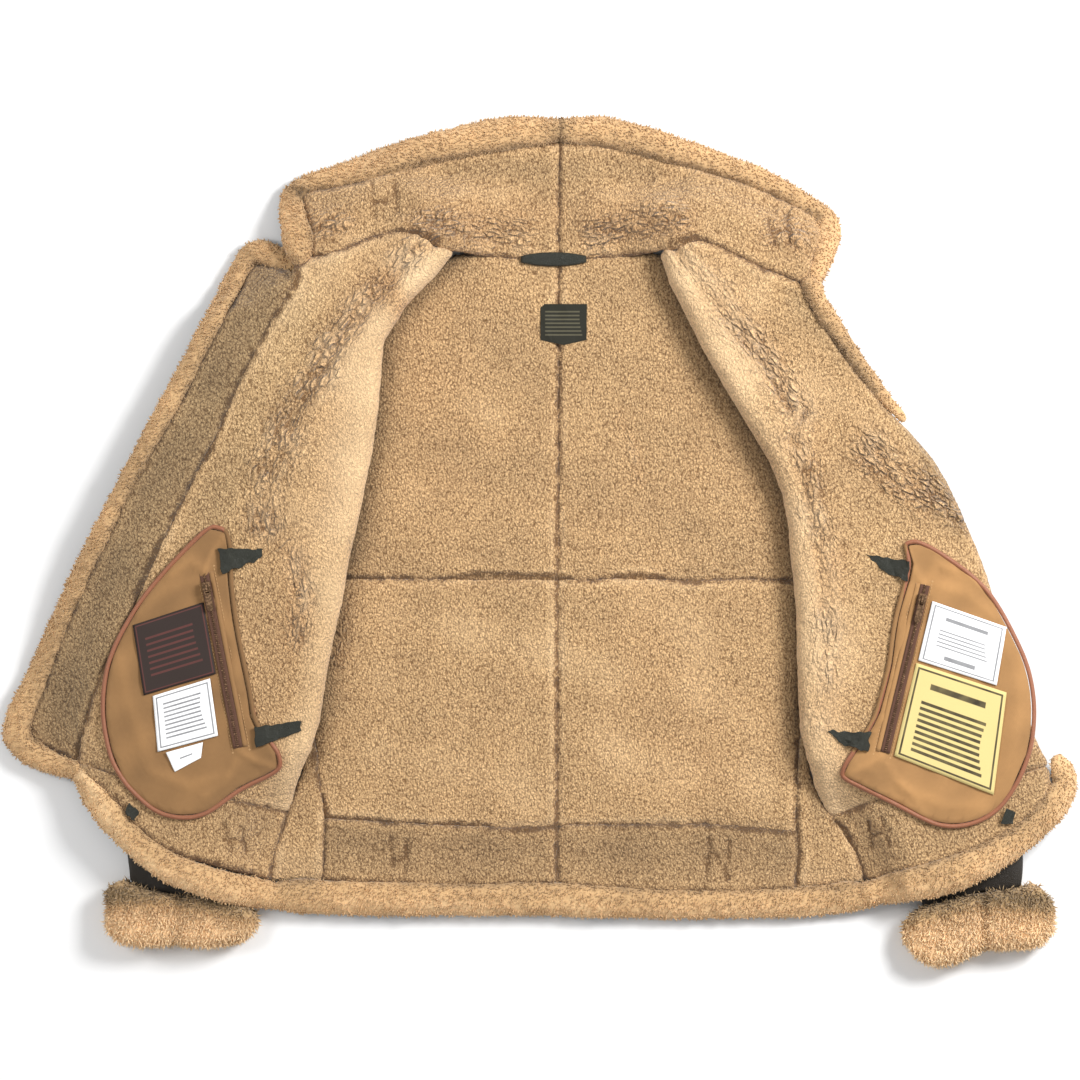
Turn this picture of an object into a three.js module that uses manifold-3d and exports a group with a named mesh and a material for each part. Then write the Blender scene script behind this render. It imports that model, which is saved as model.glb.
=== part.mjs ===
import * as THREE from "three";
import { mergeVertices } from "three/addons/utils/BufferGeometryUtils.js";
import Module from "manifold-3d";

// A shearling flight coat laid open on its back, wool side up, in millimetres with +Z up.
// x runs across from the centre-back seam, y runs up the back from the hem edge, and z
// stands on the surface that the coat lies on. Tables give distances out from the centre
// seam, so that the left side of a table is mirrored when its piece is made.

// Cloth and leather
const wool = 12; // skin and pile together
const seamGap = 0.3;
const rollGap = 2; // from a panel to the roll along its edge, whose side bulges
const cotton = 3; // a pocket bag, two layers of cotton with their facing
const label = 0.9;
const leather = 1.6;

// Heights of the layers that lie on each other
const backTop = wool;
const sleeveTop = 2 * wool + 0.5;
const overSleeve = sleeveTop + 1; // underside of a front where it lies on a sleeve
const foldRadius = 9.5; // middle of the wall round the fold of a front
const fallLength = 80; // how far past a sleeve a front sinks to the floor

// Rows and columns of the solids
const softInset = 0.035; // share of a panel's width that rounds off at its edge
const softEdge = 0.62; // height of the wool at a seam, as a share of its height
const frontRim = softEdge - 0.5; // the same, from the middle of a front's wall

// Piping, rolls and zips
const pipingWide = 4.2;
const pipingHigh = 4.4;
const zipWide = 9.5;
const zipTape = 1.2;
const chainWide = 4.6;
const chainHigh = 1.2;
const chainSlope = 0.3; // width of the chain's sloping side

const smooth = (t) => {
  const s = Math.min(1, Math.max(0, t));
  return s * s * (3 - 2 * s);
};
const mix = (a, b, t) => a + (b - a) * t;

// A smooth curve through the rows of a table, from one named column to another.
function curve(rows, key, column) {
  const sorted = [...rows].sort((a, b) => a[key] - b[key]);
  const at = sorted.map((row) => row[key]);
  const values = sorted.map((row) => row[column]);
  const last = at.length - 1;
  const slope = values.map((value, i) => {
    const before = Math.max(0, i - 1);
    const after = Math.min(last, i + 1);
    return (values[after] - values[before]) / (at[after] - at[before]);
  });
  return (x) => {
    if (x <= at[0]) return values[0];
    if (x >= at[last]) return values[last];
    let i = 0;
    while (at[i + 1] < x) i += 1;
    const span = at[i + 1] - at[i];
    const t = (x - at[i]) / span;
    const rise = values[i + 1] - values[i];
    const start = slope[i] * span;
    const end = slope[i + 1] * span;
    const square = 3 * rise - 2 * start - end;
    const cube = start + end - 2 * rise;
    return values[i] + t * (start + t * (square + t * cube));
  };
}

// Each side of the coat, from the hem up. fold: the visible rounded edge of the front that
// lies over the back. seam: the seam under it, gusset to front and then the armhole.
// gusset: the seam from back to gusset. sleeveIn and sleeveOut: the sleeve beside the back.
const sideRows = {
  left: [
    { y: 30, fold: 291, seam: 292, gusset: 236, sleeveIn: 347, sleeveOut: 432 },
    { y: 65, fold: 283, seam: 286, gusset: 236, sleeveIn: 346, sleeveOut: 436 },
    { y: 94, fold: 273, seam: 276, gusset: 234, sleeveIn: 341, sleeveOut: 439 },
    { y: 129, fold: 263, seam: 268, gusset: 240, sleeveIn: 333, sleeveOut: 442 },
    { y: 173, fold: 245, seam: 260, gusset: 245, sleeveIn: 304, sleeveOut: 446 },
    { y: 205, fold: 237, seam: 255, gusset: 244.5, sleeveIn: 290, sleeveOut: 448 },
    { y: 253, fold: 230, seam: 251, gusset: 243, sleeveIn: 272, sleeveOut: 450 },
    { y: 310, fold: 217, seam: 247, gusset: 241, sleeveIn: 260, sleeveOut: 450 },
    { y: 349, fold: 211, seam: 244, gusset: 239.5, sleeveIn: 254, sleeveOut: 449 },
    { y: 400, fold: 199, seam: 241, gusset: 238, sleeveIn: 247, sleeveOut: 444 },
    { y: 440, fold: 191, seam: 239.5, gusset: 238, sleeveIn: 241, sleeveOut: 425 },
    { y: 486, fold: 183, seam: 238, gusset: 238, sleeveIn: 239, sleeveOut: 398 },
    { y: 534, fold: 178, seam: 237, gusset: 237, sleeveIn: 239, sleeveOut: 374 },
    { y: 569, fold: 176, seam: 236, gusset: 236, sleeveIn: 238.6, sleeveOut: 356 },
    { y: 599, fold: 164, seam: 229, gusset: 229, sleeveIn: 232.4, sleeveOut: 328 },
    { y: 623, fold: 138, seam: 214, gusset: 214, sleeveIn: 223.4, sleeveOut: 276 },
    { y: 645, fold: 118, seam: 152, gusset: 152, sleeveIn: 214, sleeveOut: 236 },
    { y: 664, fold: 104, seam: 116, gusset: 110, sleeveIn: 206, sleeveOut: 216 },
  ],
  right: [
    { y: 30, fold: 310, seam: 311, gusset: 237, sleeveIn: 364, sleeveOut: 468 },
    { y: 65, fold: 297, seam: 299, gusset: 241, sleeveIn: 359, sleeveOut: 470 },
    { y: 94, fold: 276, seam: 279, gusset: 239, sleeveIn: 349, sleeveOut: 469 },
    { y: 129, fold: 257, seam: 266, gusset: 240, sleeveIn: 338, sleeveOut: 467 },
    { y: 173, fold: 244, seam: 262, gusset: 242, sleeveIn: 312, sleeveOut: 463 },
    { y: 205, fold: 240, seam: 260, gusset: 243, sleeveIn: 298, sleeveOut: 457 },
    { y: 253, fold: 239, seam: 258, gusset: 245, sleeveIn: 280, sleeveOut: 446 },
    { y: 310, fold: 238, seam: 255, gusset: 245.5, sleeveIn: 266, sleeveOut: 424 },
    { y: 349, fold: 233, seam: 252, gusset: 245, sleeveIn: 259, sleeveOut: 408 },
    { y: 400, fold: 228, seam: 248, gusset: 244, sleeveIn: 253, sleeveOut: 386 },
    { y: 440, fold: 218, seam: 244, gusset: 242, sleeveIn: 245.2, sleeveOut: 369 },
    { y: 486, fold: 191, seam: 240, gusset: 240, sleeveIn: 241.4, sleeveOut: 346 },
    { y: 534, fold: 162, seam: 237, gusset: 237, sleeveIn: 239, sleeveOut: 319 },
    { y: 569, fold: 143, seam: 235, gusset: 235, sleeveIn: 238, sleeveOut: 298 },
    { y: 599, fold: 128, seam: 229, gusset: 229, sleeveIn: 232.4, sleeveOut: 272 },
    { y: 623, fold: 115, seam: 210, gusset: 210, sleeveIn: 221.4, sleeveOut: 246 },
    { y: 645, fold: 105, seam: 150, gusset: 150, sleeveIn: 212, sleeveOut: 226 },
    { y: 664, fold: 101, seam: 114, gusset: 108, sleeveIn: 204, sleeveOut: 210 },
  ],
};

// The fold of a front, opening out towards the hem. turn: degrees that the wall turns through.
// start: middle height at the side seam. fade: how far the fold's swell reaches outwards.
const foldRows = [
  { y: 40, turn: 20, start: 6.4, fade: 44 },
  { y: 98, turn: 24, start: 6.6, fade: 50 },
  { y: 118, turn: 60, start: 10, fade: 54 },
  { y: 140, turn: 112, start: 16, fade: 58 },
  { y: 165, turn: 155, start: 18.8, fade: 62 },
  { y: 190, turn: 180, start: 18.5, fade: 62 },
  { y: 240, turn: 180, start: 18.5, fade: 62 },
  { y: 664, turn: 180, start: 18.5, fade: 62 },
];

// The fronts. edge: the outer edge, on the left the seam to the wind flap.
const frontEdge = {
  left: [
    { y: 150, edge: 479 },
    { y: 193, edge: 473 },
    { y: 240, edge: 458 },
    { y: 292, edge: 431 },
    { y: 341, edge: 409 },
    { y: 392, edge: 387 },
    { y: 446, edge: 360 },
    { y: 493, edge: 336 },
    { y: 548, edge: 308 },
    { y: 598, edge: 282 },
    { y: 615, edge: 273 },
    { y: 650, edge: 256 },
  ],
  right: [
    { y: 145, edge: 491 },
    { y: 180, edge: 474 },
    { y: 230, edge: 460 },
    { y: 280, edge: 445 },
    { y: 327, edge: 430 },
    { y: 372, edge: 415 },
    { y: 420, edge: 395 },
    { y: 462, edge: 370 },
    { y: 480, edge: 354 },
    { y: 500, edge: 332 },
    { y: 526, edge: 308 },
    { y: 553, edge: 288 },
    { y: 590, edge: 264 },
    { y: 606, edge: 254 },
    { y: 628, edge: 243 },
  ],
};

// neck: the seam to the collar. foot: the seam to the front's hem band. roll: the seam from
// the hem band to the hem roll. All of them by the distance x out from the centre seam.
const frontNeck = {
  left: [
    { x: 100, neck: 654 },
    { x: 118, neck: 664 },
    { x: 134, neck: 676 },
    { x: 157, neck: 682 },
    { x: 183, neck: 677 },
    { x: 222, neck: 660 },
    { x: 258, neck: 646 },
  ],
  right: [
    { x: 98, neck: 653 },
    { x: 115, neck: 663 },
    { x: 130, neck: 671 },
    { x: 143, neck: 672 },
    { x: 158, neck: 667 },
    { x: 186, neck: 654 },
    { x: 221, neck: 638 },
    { x: 262, neck: 626 },
  ],
};
const frontFoot = {
  left: [
    { x: 262, foot: 99 },
    { x: 280, foot: 104 },
    { x: 325, foot: 115 },
    { x: 380, foot: 124 },
    { x: 436, foot: 139 },
    { x: 480, foot: 153 },
  ],
  right: [
    { x: 262, foot: 93 },
    { x: 280, foot: 100 },
    { x: 316, foot: 114 },
    { x: 380, foot: 124 },
    { x: 440, foot: 136 },
    { x: 494, foot: 152 },
  ],
};
const rollSeam = {
  left: [
    { x: 285, roll: 33 },
    { x: 298, roll: 38 },
    { x: 319, roll: 45 },
    { x: 345, roll: 53 },
    { x: 372, roll: 60 },
    { x: 407, roll: 79 },
    { x: 427, roll: 96 },
    { x: 445, roll: 121 },
    { x: 460, roll: 133 },
    { x: 470, roll: 137 },
  ],
  right: [
    { x: 300, roll: 33 },
    { x: 314, roll: 36 },
    { x: 346, roll: 48 },
    { x: 385, roll: 56 },
    { x: 423, roll: 71 },
    { x: 452, roll: 87 },
    { x: 467, roll: 98 },
    { x: 484, roll: 118 },
    { x: 492, roll: 133 },
  ],
};

// The wind flap beside the left front, from its own roll seam to the front's edge
const flapOuter = [
  { y: 150, edge: 524 },
  { y: 181, edge: 531 },
  { y: 198, edge: 527 },
  { y: 235, edge: 511 },
  { y: 280, edge: 495 },
  { y: 328, edge: 473 },
  { y: 372, edge: 451 },
  { y: 432, edge: 423 },
  { y: 481, edge: 395 },
  { y: 526, edge: 370 },
  { y: 569, edge: 349 },
  { y: 606, edge: 328 },
  { y: 652, edge: 303 },
];
const flapEnds = [
  { x: 250, top: 628, foot: 150 },
  { x: 270, top: 636, foot: 150 },
  { x: 284, top: 646, foot: 150 },
  { x: 306, top: 651, foot: 150 },
  { x: 480, top: 651, foot: 155 },
  { x: 500, top: 651, foot: 162 },
  { x: 522, top: 651, foot: 172 },
  { x: 536, top: 651, foot: 180 },
];

// The collar, by the distance x to the left or right of its centre seam
const collarRows = {
  left: [
    { x: 0, seam: 658, roll: 773 },
    { x: 60, seam: 659, roll: 770 },
    { x: 98, seam: 665.5, roll: 761 },
    { x: 118, seam: 667, roll: 757 },
    { x: 134, seam: 678, roll: 753 },
    { x: 160, seam: 684, roll: 747 },
    { x: 191, seam: 678, roll: 735 },
    { x: 222, seam: 663, roll: 728 },
    { x: 248, seam: 653, roll: 724 },
    { x: 262, seam: 648, roll: 718 },
  ],
  right: [
    { x: 0, seam: 658, roll: 773 },
    { x: 60, seam: 660, roll: 769 },
    { x: 96, seam: 664.5, roll: 760 },
    { x: 116, seam: 666, roll: 755 },
    { x: 130, seam: 673, roll: 750 },
    { x: 143, seam: 674.5, roll: 746 },
    { x: 166, seam: 667, roll: 739 },
    { x: 206, seam: 648, roll: 725 },
    { x: 237, seam: 636, roll: 709 },
    { x: 260, seam: 629, roll: 698 },
    { x: 272, seam: 628, roll: 690 },
  ],
};
const collarEnd = {
  left: [
    { y: 645, end: 250 },
    { y: 668, end: 247 },
    { y: 690, end: 251 },
    { y: 708, end: 256 },
    { y: 724, end: 260 },
  ],
  right: [
    { y: 626, end: 247 },
    { y: 650, end: 255 },
    { y: 672, end: 258 },
    { y: 700, end: 257 },
  ],
};

// Rolled edges: the middle of each roll from end to end, and its width seen from above
const collarRollPath = {
  left: [
    { x: -0.8, y: 787.5, wide: 28 },
    { x: -49, y: 783, wide: 31 },
    { x: -88, y: 776, wide: 29 },
    { x: -139, y: 764, wide: 29 },
    { x: -183, y: 750, wide: 27 },
    { x: -221, y: 739, wide: 22 },
    { x: -252, y: 731, wide: 18 },
    { x: -267, y: 718, wide: 19 },
    { x: -266, y: 697, wide: 23 },
    { x: -259, y: 675, wide: 23 },
    { x: -254, y: 659, wide: 18 },
  ],
  right: [
    { x: 0.8, y: 787.5, wide: 28 },
    { x: 43, y: 785, wide: 27 },
    { x: 84, y: 775, wide: 27 },
    { x: 125, y: 763, wide: 25 },
    { x: 166, y: 749, wide: 22 },
    { x: 206, y: 735, wide: 20 },
    { x: 237, y: 718, wide: 18 },
    { x: 262, y: 702, wide: 18 },
    { x: 273, y: 688, wide: 19 },
    { x: 269, y: 668, wide: 19 },
    { x: 260, y: 646, wide: 16 },
    { x: 255, y: 636, wide: 12 },
  ],
};
const flapRollPath = [
  { x: -277, y: 647, wide: 16 },
  { x: -290, y: 662, wide: 22 },
  { x: -305, y: 664, wide: 20 },
  { x: -322, y: 641, wide: 17 },
  { x: -339, y: 606, wide: 16 },
  { x: -371, y: 544, wide: 16 },
  { x: -405, y: 480, wide: 17 },
  { x: -440, y: 412, wide: 17 },
  { x: -471, y: 352, wide: 18 },
  { x: -499, y: 289, wide: 19 },
  { x: -525, y: 232, wide: 21 },
  { x: -540, y: 200, wide: 23 },
  { x: -544, y: 180, wide: 23 },
  { x: -534, y: 165, wide: 22 },
  { x: -513, y: 153, wide: 22 },
  { x: -487, y: 143, wide: 20 },
];
const hemRollPath = {
  left: [
    { x: -476, y: 133, wide: 18 },
    { x: -464, y: 119, wide: 24 },
    { x: -449, y: 101, wide: 25 },
    { x: -430, y: 80, wide: 25 },
    { x: -410, y: 62, wide: 25 },
    { x: -386, y: 46, wide: 26 },
    { x: -353, y: 34, wide: 28 },
    { x: -318, y: 24, wide: 30 },
    { x: -292.3, y: 18.4, wide: 30 },
  ],
  back: [
    { x: -290.6, y: 18, wide: 30 },
    { x: -237, y: 16, wide: 31 },
    { x: -126, y: 14, wide: 30 },
    { x: 0, y: 14, wide: 30 },
    { x: 120, y: 9, wide: 27 },
    { x: 226, y: 11, wide: 27 },
    { x: 270, y: 14, wide: 27 },
    { x: 308, y: 18.6, wide: 28 },
  ],
  right: [
    { x: 310, y: 19, wide: 28 },
    { x: 345, y: 29, wide: 30 },
    { x: 385, y: 38, wide: 32 },
    { x: 423, y: 54, wide: 30 },
    { x: 455, y: 73, wide: 27 },
    { x: 480, y: 93, wide: 26 },
    { x: 498, y: 113, wide: 26 },
    { x: 508, y: 130, wide: 23 },
    { x: 503, y: 147, wide: 20 },
    { x: 496, y: 158, wide: 16 },
  ],
};
const frontRollPath = [
  { x: 251.8, y: 627.5, wide: 14 },
  { x: 263.8, y: 605.5, wide: 15 },
  { x: 289.2, y: 565.5, wide: 13 },
  { x: 316.8, y: 526.5, wide: 11 },
  { x: 345.2, y: 494.5, wide: 8 },
];
// Heights of the rolls, as a share of their widths
const rollHigh = { flap: 0.72, hem: 0.62, collar: 0.66, front: 0.9 };

// Cuffs, seen from above
const cuffRows = {
  left: [
    { x: 304, top: 0, foot: -12 },
    { x: 318, top: 8, foot: -24 },
    { x: 347, top: 15, foot: -28 },
    { x: 390, top: 19, foot: -28 },
    { x: 422, top: 27, foot: -28 },
    { x: 440, top: 33, foot: -24 },
    { x: 450, top: 24, foot: -14 },
  ],
  right: [
    { x: 348, top: -10, foot: -24 },
    { x: 357, top: 2, foot: -38 },
    { x: 374, top: 8, foot: -48 },
    { x: 394, top: 13, foot: -46 },
    { x: 425, top: 22, foot: -33 },
    { x: 455, top: 23, foot: -31 },
    { x: 478, top: 29, foot: -29 },
    { x: 493, top: 8, foot: -14 },
  ],
};
const cuffWall = 14;

// Pocket bags: outer and inner edge by height y, foot and tip by distance x
const bagSides = {
  left: [
    { y: 120, outer: 427, inner: 277 },
    { y: 147, outer: 442, inner: 276 },
    { y: 166, outer: 448, inner: 280 },
    { y: 190, outer: 453, inner: 301 },
    { y: 217, outer: 454, inner: 306 },
    { y: 241, outer: 451, inner: 311 },
    { y: 265, outer: 444, inner: 316 },
    { y: 292, outer: 430, inner: 321 },
    { y: 316, outer: 415, inner: 324 },
    { y: 345, outer: 391, inner: 327 },
    { y: 373, outer: 364, inner: 326 },
    { y: 392, outer: 343, inner: 335 },
  ],
  right: [
    { y: 120, outer: 450, inner: 278 },
    { y: 145, outer: 464, inner: 282 },
    { y: 172, outer: 471, inner: 299 },
    { y: 198, outer: 474, inner: 315 },
    { y: 222, outer: 473, inner: 322 },
    { y: 250, outer: 467, inner: 329 },
    { y: 275, outer: 456, inner: 332 },
    { y: 300, outer: 443, inner: 336 },
    { y: 327, outer: 425, inner: 344 },
    { y: 350, outer: 398, inner: 350 },
    { y: 374, outer: 358, inner: 343 },
  ],
};
const bagEnds = {
  left: [
    { x: 276, foot: 147, tip: 380 },
    { x: 296, foot: 136, tip: 380 },
    { x: 320, foot: 125, tip: 380 },
    { x: 335, foot: 113, tip: 386 },
    { x: 350, foot: 102, tip: 389 },
    { x: 370, foot: 98, tip: 389 },
    { x: 390, foot: 100, tip: 389 },
    { x: 410, foot: 110, tip: 389 },
    { x: 428, foot: 126, tip: 389 },
    { x: 441, foot: 144, tip: 389 },
  ],
  right: [
    { x: 280, foot: 139, tip: 368 },
    { x: 312, foot: 123, tip: 368 },
    { x: 335, foot: 112, tip: 368 },
    { x: 352, foot: 103, tip: 373 },
    { x: 370, foot: 93, tip: 373 },
    { x: 395, foot: 89, tip: 373 },
    { x: 418, foot: 94, tip: 373 },
    { x: 434, foot: 103, tip: 373 },
    { x: 450, foot: 119, tip: 373 },
    { x: 464, foot: 142, tip: 373 },
  ],
};
// Zips across the bags, from the slider down
const zips = {
  left: { top: [353, 342], foot: [319.5, 168] },
  right: { top: [365, 330], foot: [325.5, 163] },
};

// Flat quadrilaterals on the bags and fronts: inner top, outer top, outer foot, inner foot
const labels = {
  label_brown: { side: "left", corners: [[353.5, 313], [424, 290], [413, 220], [341, 241.5]] },
  label_white_left: { side: "left", corners: [[347, 237], [404, 219.5], [399, 164], [339, 180]] },
  label_small: { side: "left", corners: [[354, 173.5], [391, 163.2], [382, 144], [356, 158]] },
  label_white_right: { side: "right", corners: [[372, 314], [446, 288], [436, 230], [358, 255]] },
  label_yellow: { side: "right", corners: [[356, 252.5], [446, 223], [433, 121], [334, 160]] },
};
const tabs = {
  tab_left_upper: { side: "left", corners: [[294, 366], [339, 366], [335, 341], [297, 356]] },
  tab_left_lower: { side: "left", corners: [[256, 195], [303, 188], [301, 168], [256, 185]] },
  tab_right_upper: { side: "right", corners: [[306, 361], [350, 353], [347, 334], [324, 343]] },
  tab_right_lower: { side: "right", corners: [[267, 185], [310, 183], [308, 164], [284, 170]] },
};

// The small patches at the lower outer corners of the bags and the pieces at the neck
const patches = {
  patch_left: { side: "left", corners: [[418, 104], [428, 113], [432, 104], [422, 94]] },
  patch_right: { side: "right", corners: [[446, 108], [455, 104], [452, 92], [440, 92]] },
};
const neckLabel = { x: [-18, 28.5], y: [570, 611] };
const hangerLoop = { x: [-38, 28], y: [648.5, 663], high: 4.5, lift: 1.2 };

const columns = {};
for (const side of ["left", "right"]) {
  const rows = sideRows[side];
  columns[side] = {
    fold: curve(rows, "y", "fold"),
    seam: curve(rows, "y", "seam"),
    gusset: curve(rows, "y", "gusset"),
    sleeveIn: curve(rows, "y", "sleeveIn"),
    sleeveOut: curve(rows, "y", "sleeveOut"),
    edge: curve(frontEdge[side], "y", "edge"),
    neck: curve(frontNeck[side], "x", "neck"),
    foot: curve(frontFoot[side], "x", "foot"),
    roll: curve(rollSeam[side], "x", "roll"),
  };
}
const turnAt = curve(foldRows, "y", "turn");
const startAt = curve(foldRows, "y", "start");
const fadeAt = curve(foldRows, "y", "fade");
const mirror = { left: -1, right: 1 };

// Where the round of the fold begins and ends, on one side at height y up the back
function foldAt(side, y) {
  const turn = THREE.MathUtils.degToRad(turnAt(y));
  const reach = Math.sin(Math.min(turn, Math.PI / 2));
  const centre = columns[side].fold(y) + (foldRadius + wool / 2) * reach;
  const height = startAt(y) - foldRadius * Math.cos(turn);
  return { turn, centre, height, top: height + foldRadius };
}

// Underside of a front, flap or hem band: on the sleeve, and past it down to the floor
function rest(side, x, y) {
  return overSleeve * (1 - smooth((x - columns[side].sleeveOut(y)) / fallLength));
}

// Middle of a front's wall, with the swell of its fold
function frontMiddle(side, x, y) {
  const fold = foldAt(side, y);
  const lift = fold.top - wool / 2 - rest(side, fold.centre, y);
  return rest(side, x, y) + wool / 2 + lift * (1 - smooth((x - fold.centre) / fadeAt(y)));
}
const frontUnder = (side, x, y) => frontMiddle(side, x, y) - wool / 2;
const frontTop = (side, x, y) => frontMiddle(side, x, y) + wool / 2;

// A closed solid between two grids of points
function gridSolid(grid) {
  const along = grid.length;
  const across = grid[0].length;
  const positions = [];
  for (const layer of ["upper", "lower"])
    for (const row of grid) for (const cell of row) positions.push(...cell[layer]);
  const at = (layer, i, j) => layer * along * across + i * across + j;
  const faces = [];
  const quad = (a, b, c, d) => faces.push(a, b, c, a, c, d);
  for (let i = 0; i + 1 < along; i += 1)
    for (let j = 0; j + 1 < across; j += 1) {
      quad(at(0, i, j), at(0, i, j + 1), at(0, i + 1, j + 1), at(0, i + 1, j));
      quad(at(1, i, j), at(1, i + 1, j), at(1, i + 1, j + 1), at(1, i, j + 1));
    }
  const side = (i0, j0, i1, j1) => quad(at(0, i1, j1), at(0, i0, j0), at(1, i0, j0), at(1, i1, j1));
  for (let j = 0; j + 1 < across; j += 1) {
    side(0, j, 0, j + 1);
    side(along - 1, j + 1, along - 1, j);
  }
  for (let i = 0; i + 1 < along; i += 1) {
    side(i + 1, 0, i, 0);
    side(i, across - 1, i + 1, across - 1);
  }
  return outward(positions, faces);
}

// A geometry from points and faces, with its faces turned outwards
function outward(positions, faces) {
  const p = (i) => new THREE.Vector3().fromArray(positions, 3 * faces[i]);
  let volume = 0;
  for (let i = 0; i < faces.length; i += 3) volume += p(i).dot(p(i + 1).cross(p(i + 2)));
  if (volume < 0)
    for (let i = 0; i < faces.length; i += 3) [faces[i], faces[i + 1]] = [faces[i + 1], faces[i]];
  const geometry = new THREE.BufferGeometry();
  geometry.setAttribute("position", new THREE.Float32BufferAttribute(positions, 3));
  geometry.setIndex(faces);
  return geometry;
}

// Steps from 0 to 1, closer at both ends where the wool rounds off
function steps(count, inset = softInset) {
  const list = [0];
  for (let i = 0; i <= count; i += 1) list.push(inset + ((1 - 2 * inset) * i) / count);
  list.push(1);
  return list;
}

// A panel over a plan (u, v) to [x, y], with its underside and thickness as functions
function panel({ plan, across, along, under, thick, edge = softEdge, inset = softInset }) {
  const us = edge < 1 ? steps(across, inset) : steps(across, 1 / (across + 2));
  const vs = edge < 1 ? steps(along, inset) : steps(along, 1 / (along + 2));
  const rim = (t) => t === 0 || t === 1;
  return gridSolid(
    vs.map((v) =>
      us.map((u) => {
        const [x, y] = plan(u, v);
        const foot = under(x, y);
        const high = thick * (rim(u) || rim(v) ? edge : 1);
        return { upper: [x, y, foot + high], lower: [x, y, foot] };
      }),
    ),
  );
}

// A plan between two side lines x(y) and two end lines y(x), found by a few corrections
const corrections = 40;
const damping = 0.6;
function between({ inner, outer, foot, top, sign, start, gap = seamGap / 2 }) {
  return (u, v) => {
    let y = start;
    let x = 0;
    for (let i = 0; i < corrections; i += 1) {
      x = mix(x, mix(inner(y) + gap, outer(y) - gap, u), i === 0 ? 1 : damping);
      y = mix(y, mix(foot(x) + gap, top(x) - gap, v), damping);
    }
    return [sign * x, y];
  };
}

// A roll along a path: an ellipse of eight sides whose flat underside lies on what is below
const rollSides = 8;
const endWide = 0.55; // width of a roll's end, as a share of its width
const endReach = 12; // how soon it reaches its full width: one part in so many of its length
function roll({ path, count, under, high, closed = false, sides = rollSides }) {
  const points = path.map(({ x, y }) => new THREE.Vector3(x, y, 0));
  const line = new THREE.CatmullRomCurve3(points, closed, "centripetal");
  const spans = closed ? path.length : path.length - 1;
  const widths = path.map(({ wide }, i) => ({ t: i / spans, wide }));
  const wideAt = curve(widths, "t", "wide");
  const positions = [];
  const rings = closed ? count : count + 1;
  for (let i = 0; i < rings; i += 1) {
    const t = i / count;
    const rounded = Math.sqrt(Math.min(1, endReach * Math.min(t, 1 - t)));
    const end = closed ? 1 : mix(endWide, 1, rounded);
    const centre = line.getPoint(t);
    const along = line.getTangent(t);
    const wide = wideAt(t) * end;
    const tall = wideAt(t) * high;
    for (let k = 0; k < sides; k += 1) {
      const angle = (2 * Math.PI * (k + 0.5)) / sides;
      const out = (Math.cos(angle) * wide) / 2;
      const x = centre.x + along.y * out;
      const y = centre.y - along.x * out;
      positions.push(x, y, under(x, y) + (tall / 2) * (1 + Math.sin(angle)));
    }
  }
  const faces = [];
  for (let i = 0; i < (closed ? rings : rings - 1); i += 1)
    for (let k = 0; k < sides; k += 1) {
      const next = (k + 1) % sides;
      const a = i * sides + k;
      const b = i * sides + next;
      const c = ((i + 1) % rings) * sides + k;
      const d = ((i + 1) % rings) * sides + next;
      faces.push(a, b, d, a, d, c);
    }
  if (!closed)
    for (let k = 1; k + 1 < sides; k += 1) {
      const last = (rings - 1) * sides;
      faces.push(0, k + 1, k, last, last + k, last + k + 1);
    }
  return outward(positions, faces);
}

// Colours of the finishes
const finishes = {
  shearling: { color: 0xc8a276, roughness: 0.95 },
  leather: { color: 0x3a3630, roughness: 0.6 },
  cotton: { color: 0xa67d51, roughness: 0.9 },
  piping: { color: 0x8f5a3c, roughness: 0.7 },
  zip_tape: { color: 0x6e4a30, roughness: 0.85 },
  metal: { color: 0x7a6a50, roughness: 0.4, metalness: 0.8 },
  label_dark: { color: 0x4a3f38, roughness: 0.8 },
  label_white: { color: 0xf2f2ee, roughness: 0.7 },
  label_yellow: { color: 0xe6d488, roughness: 0.7 },
};
const coat = new THREE.Group();
coat.name = "shearling_coat";

function add(name, finish, geometry, parent = coat) {
  const material = new THREE.MeshStandardMaterial(finishes[finish]);
  material.name = finish;
  const mesh = new THREE.Mesh(geometry, material);
  mesh.name = name;
  parent.add(mesh);
  return mesh;
}

const floor = () => 0;
const centre = () => 0;

// The back: two upper and two lower panels, and the hem band under them
const yoke = () => 335;
const backFoot = curve(
  [
    { x: -240, foot: 95 },
    { x: -170, foot: 91 },
    { x: -50, foot: 85 },
    { x: 0, foot: 87.5 },
    { x: 150, foot: 89 },
    { x: 240, foot: 82 },
  ],
  "x",
  "foot",
);
const hemTop = curve(
  [
    { x: -292, foot: 33.6 },
    { x: -237, foot: 33 },
    { x: -126, foot: 29 },
    { x: 0, foot: 29 },
    { x: 120, foot: 22.6 },
    { x: 226, foot: 25 },
    { x: 312, foot: 34 },
  ],
  "x",
  "foot",
);
const shoulder = curve(
  [
    { x: 0, top: 657 },
    { x: 60, top: 658.5 },
    { x: 102, top: 661.5 },
    { x: 122, top: 655 },
    { x: 160, top: 642 },
    { x: 212, top: 623 },
    { x: 245, top: 610 },
  ],
  "x",
  "top",
);

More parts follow.
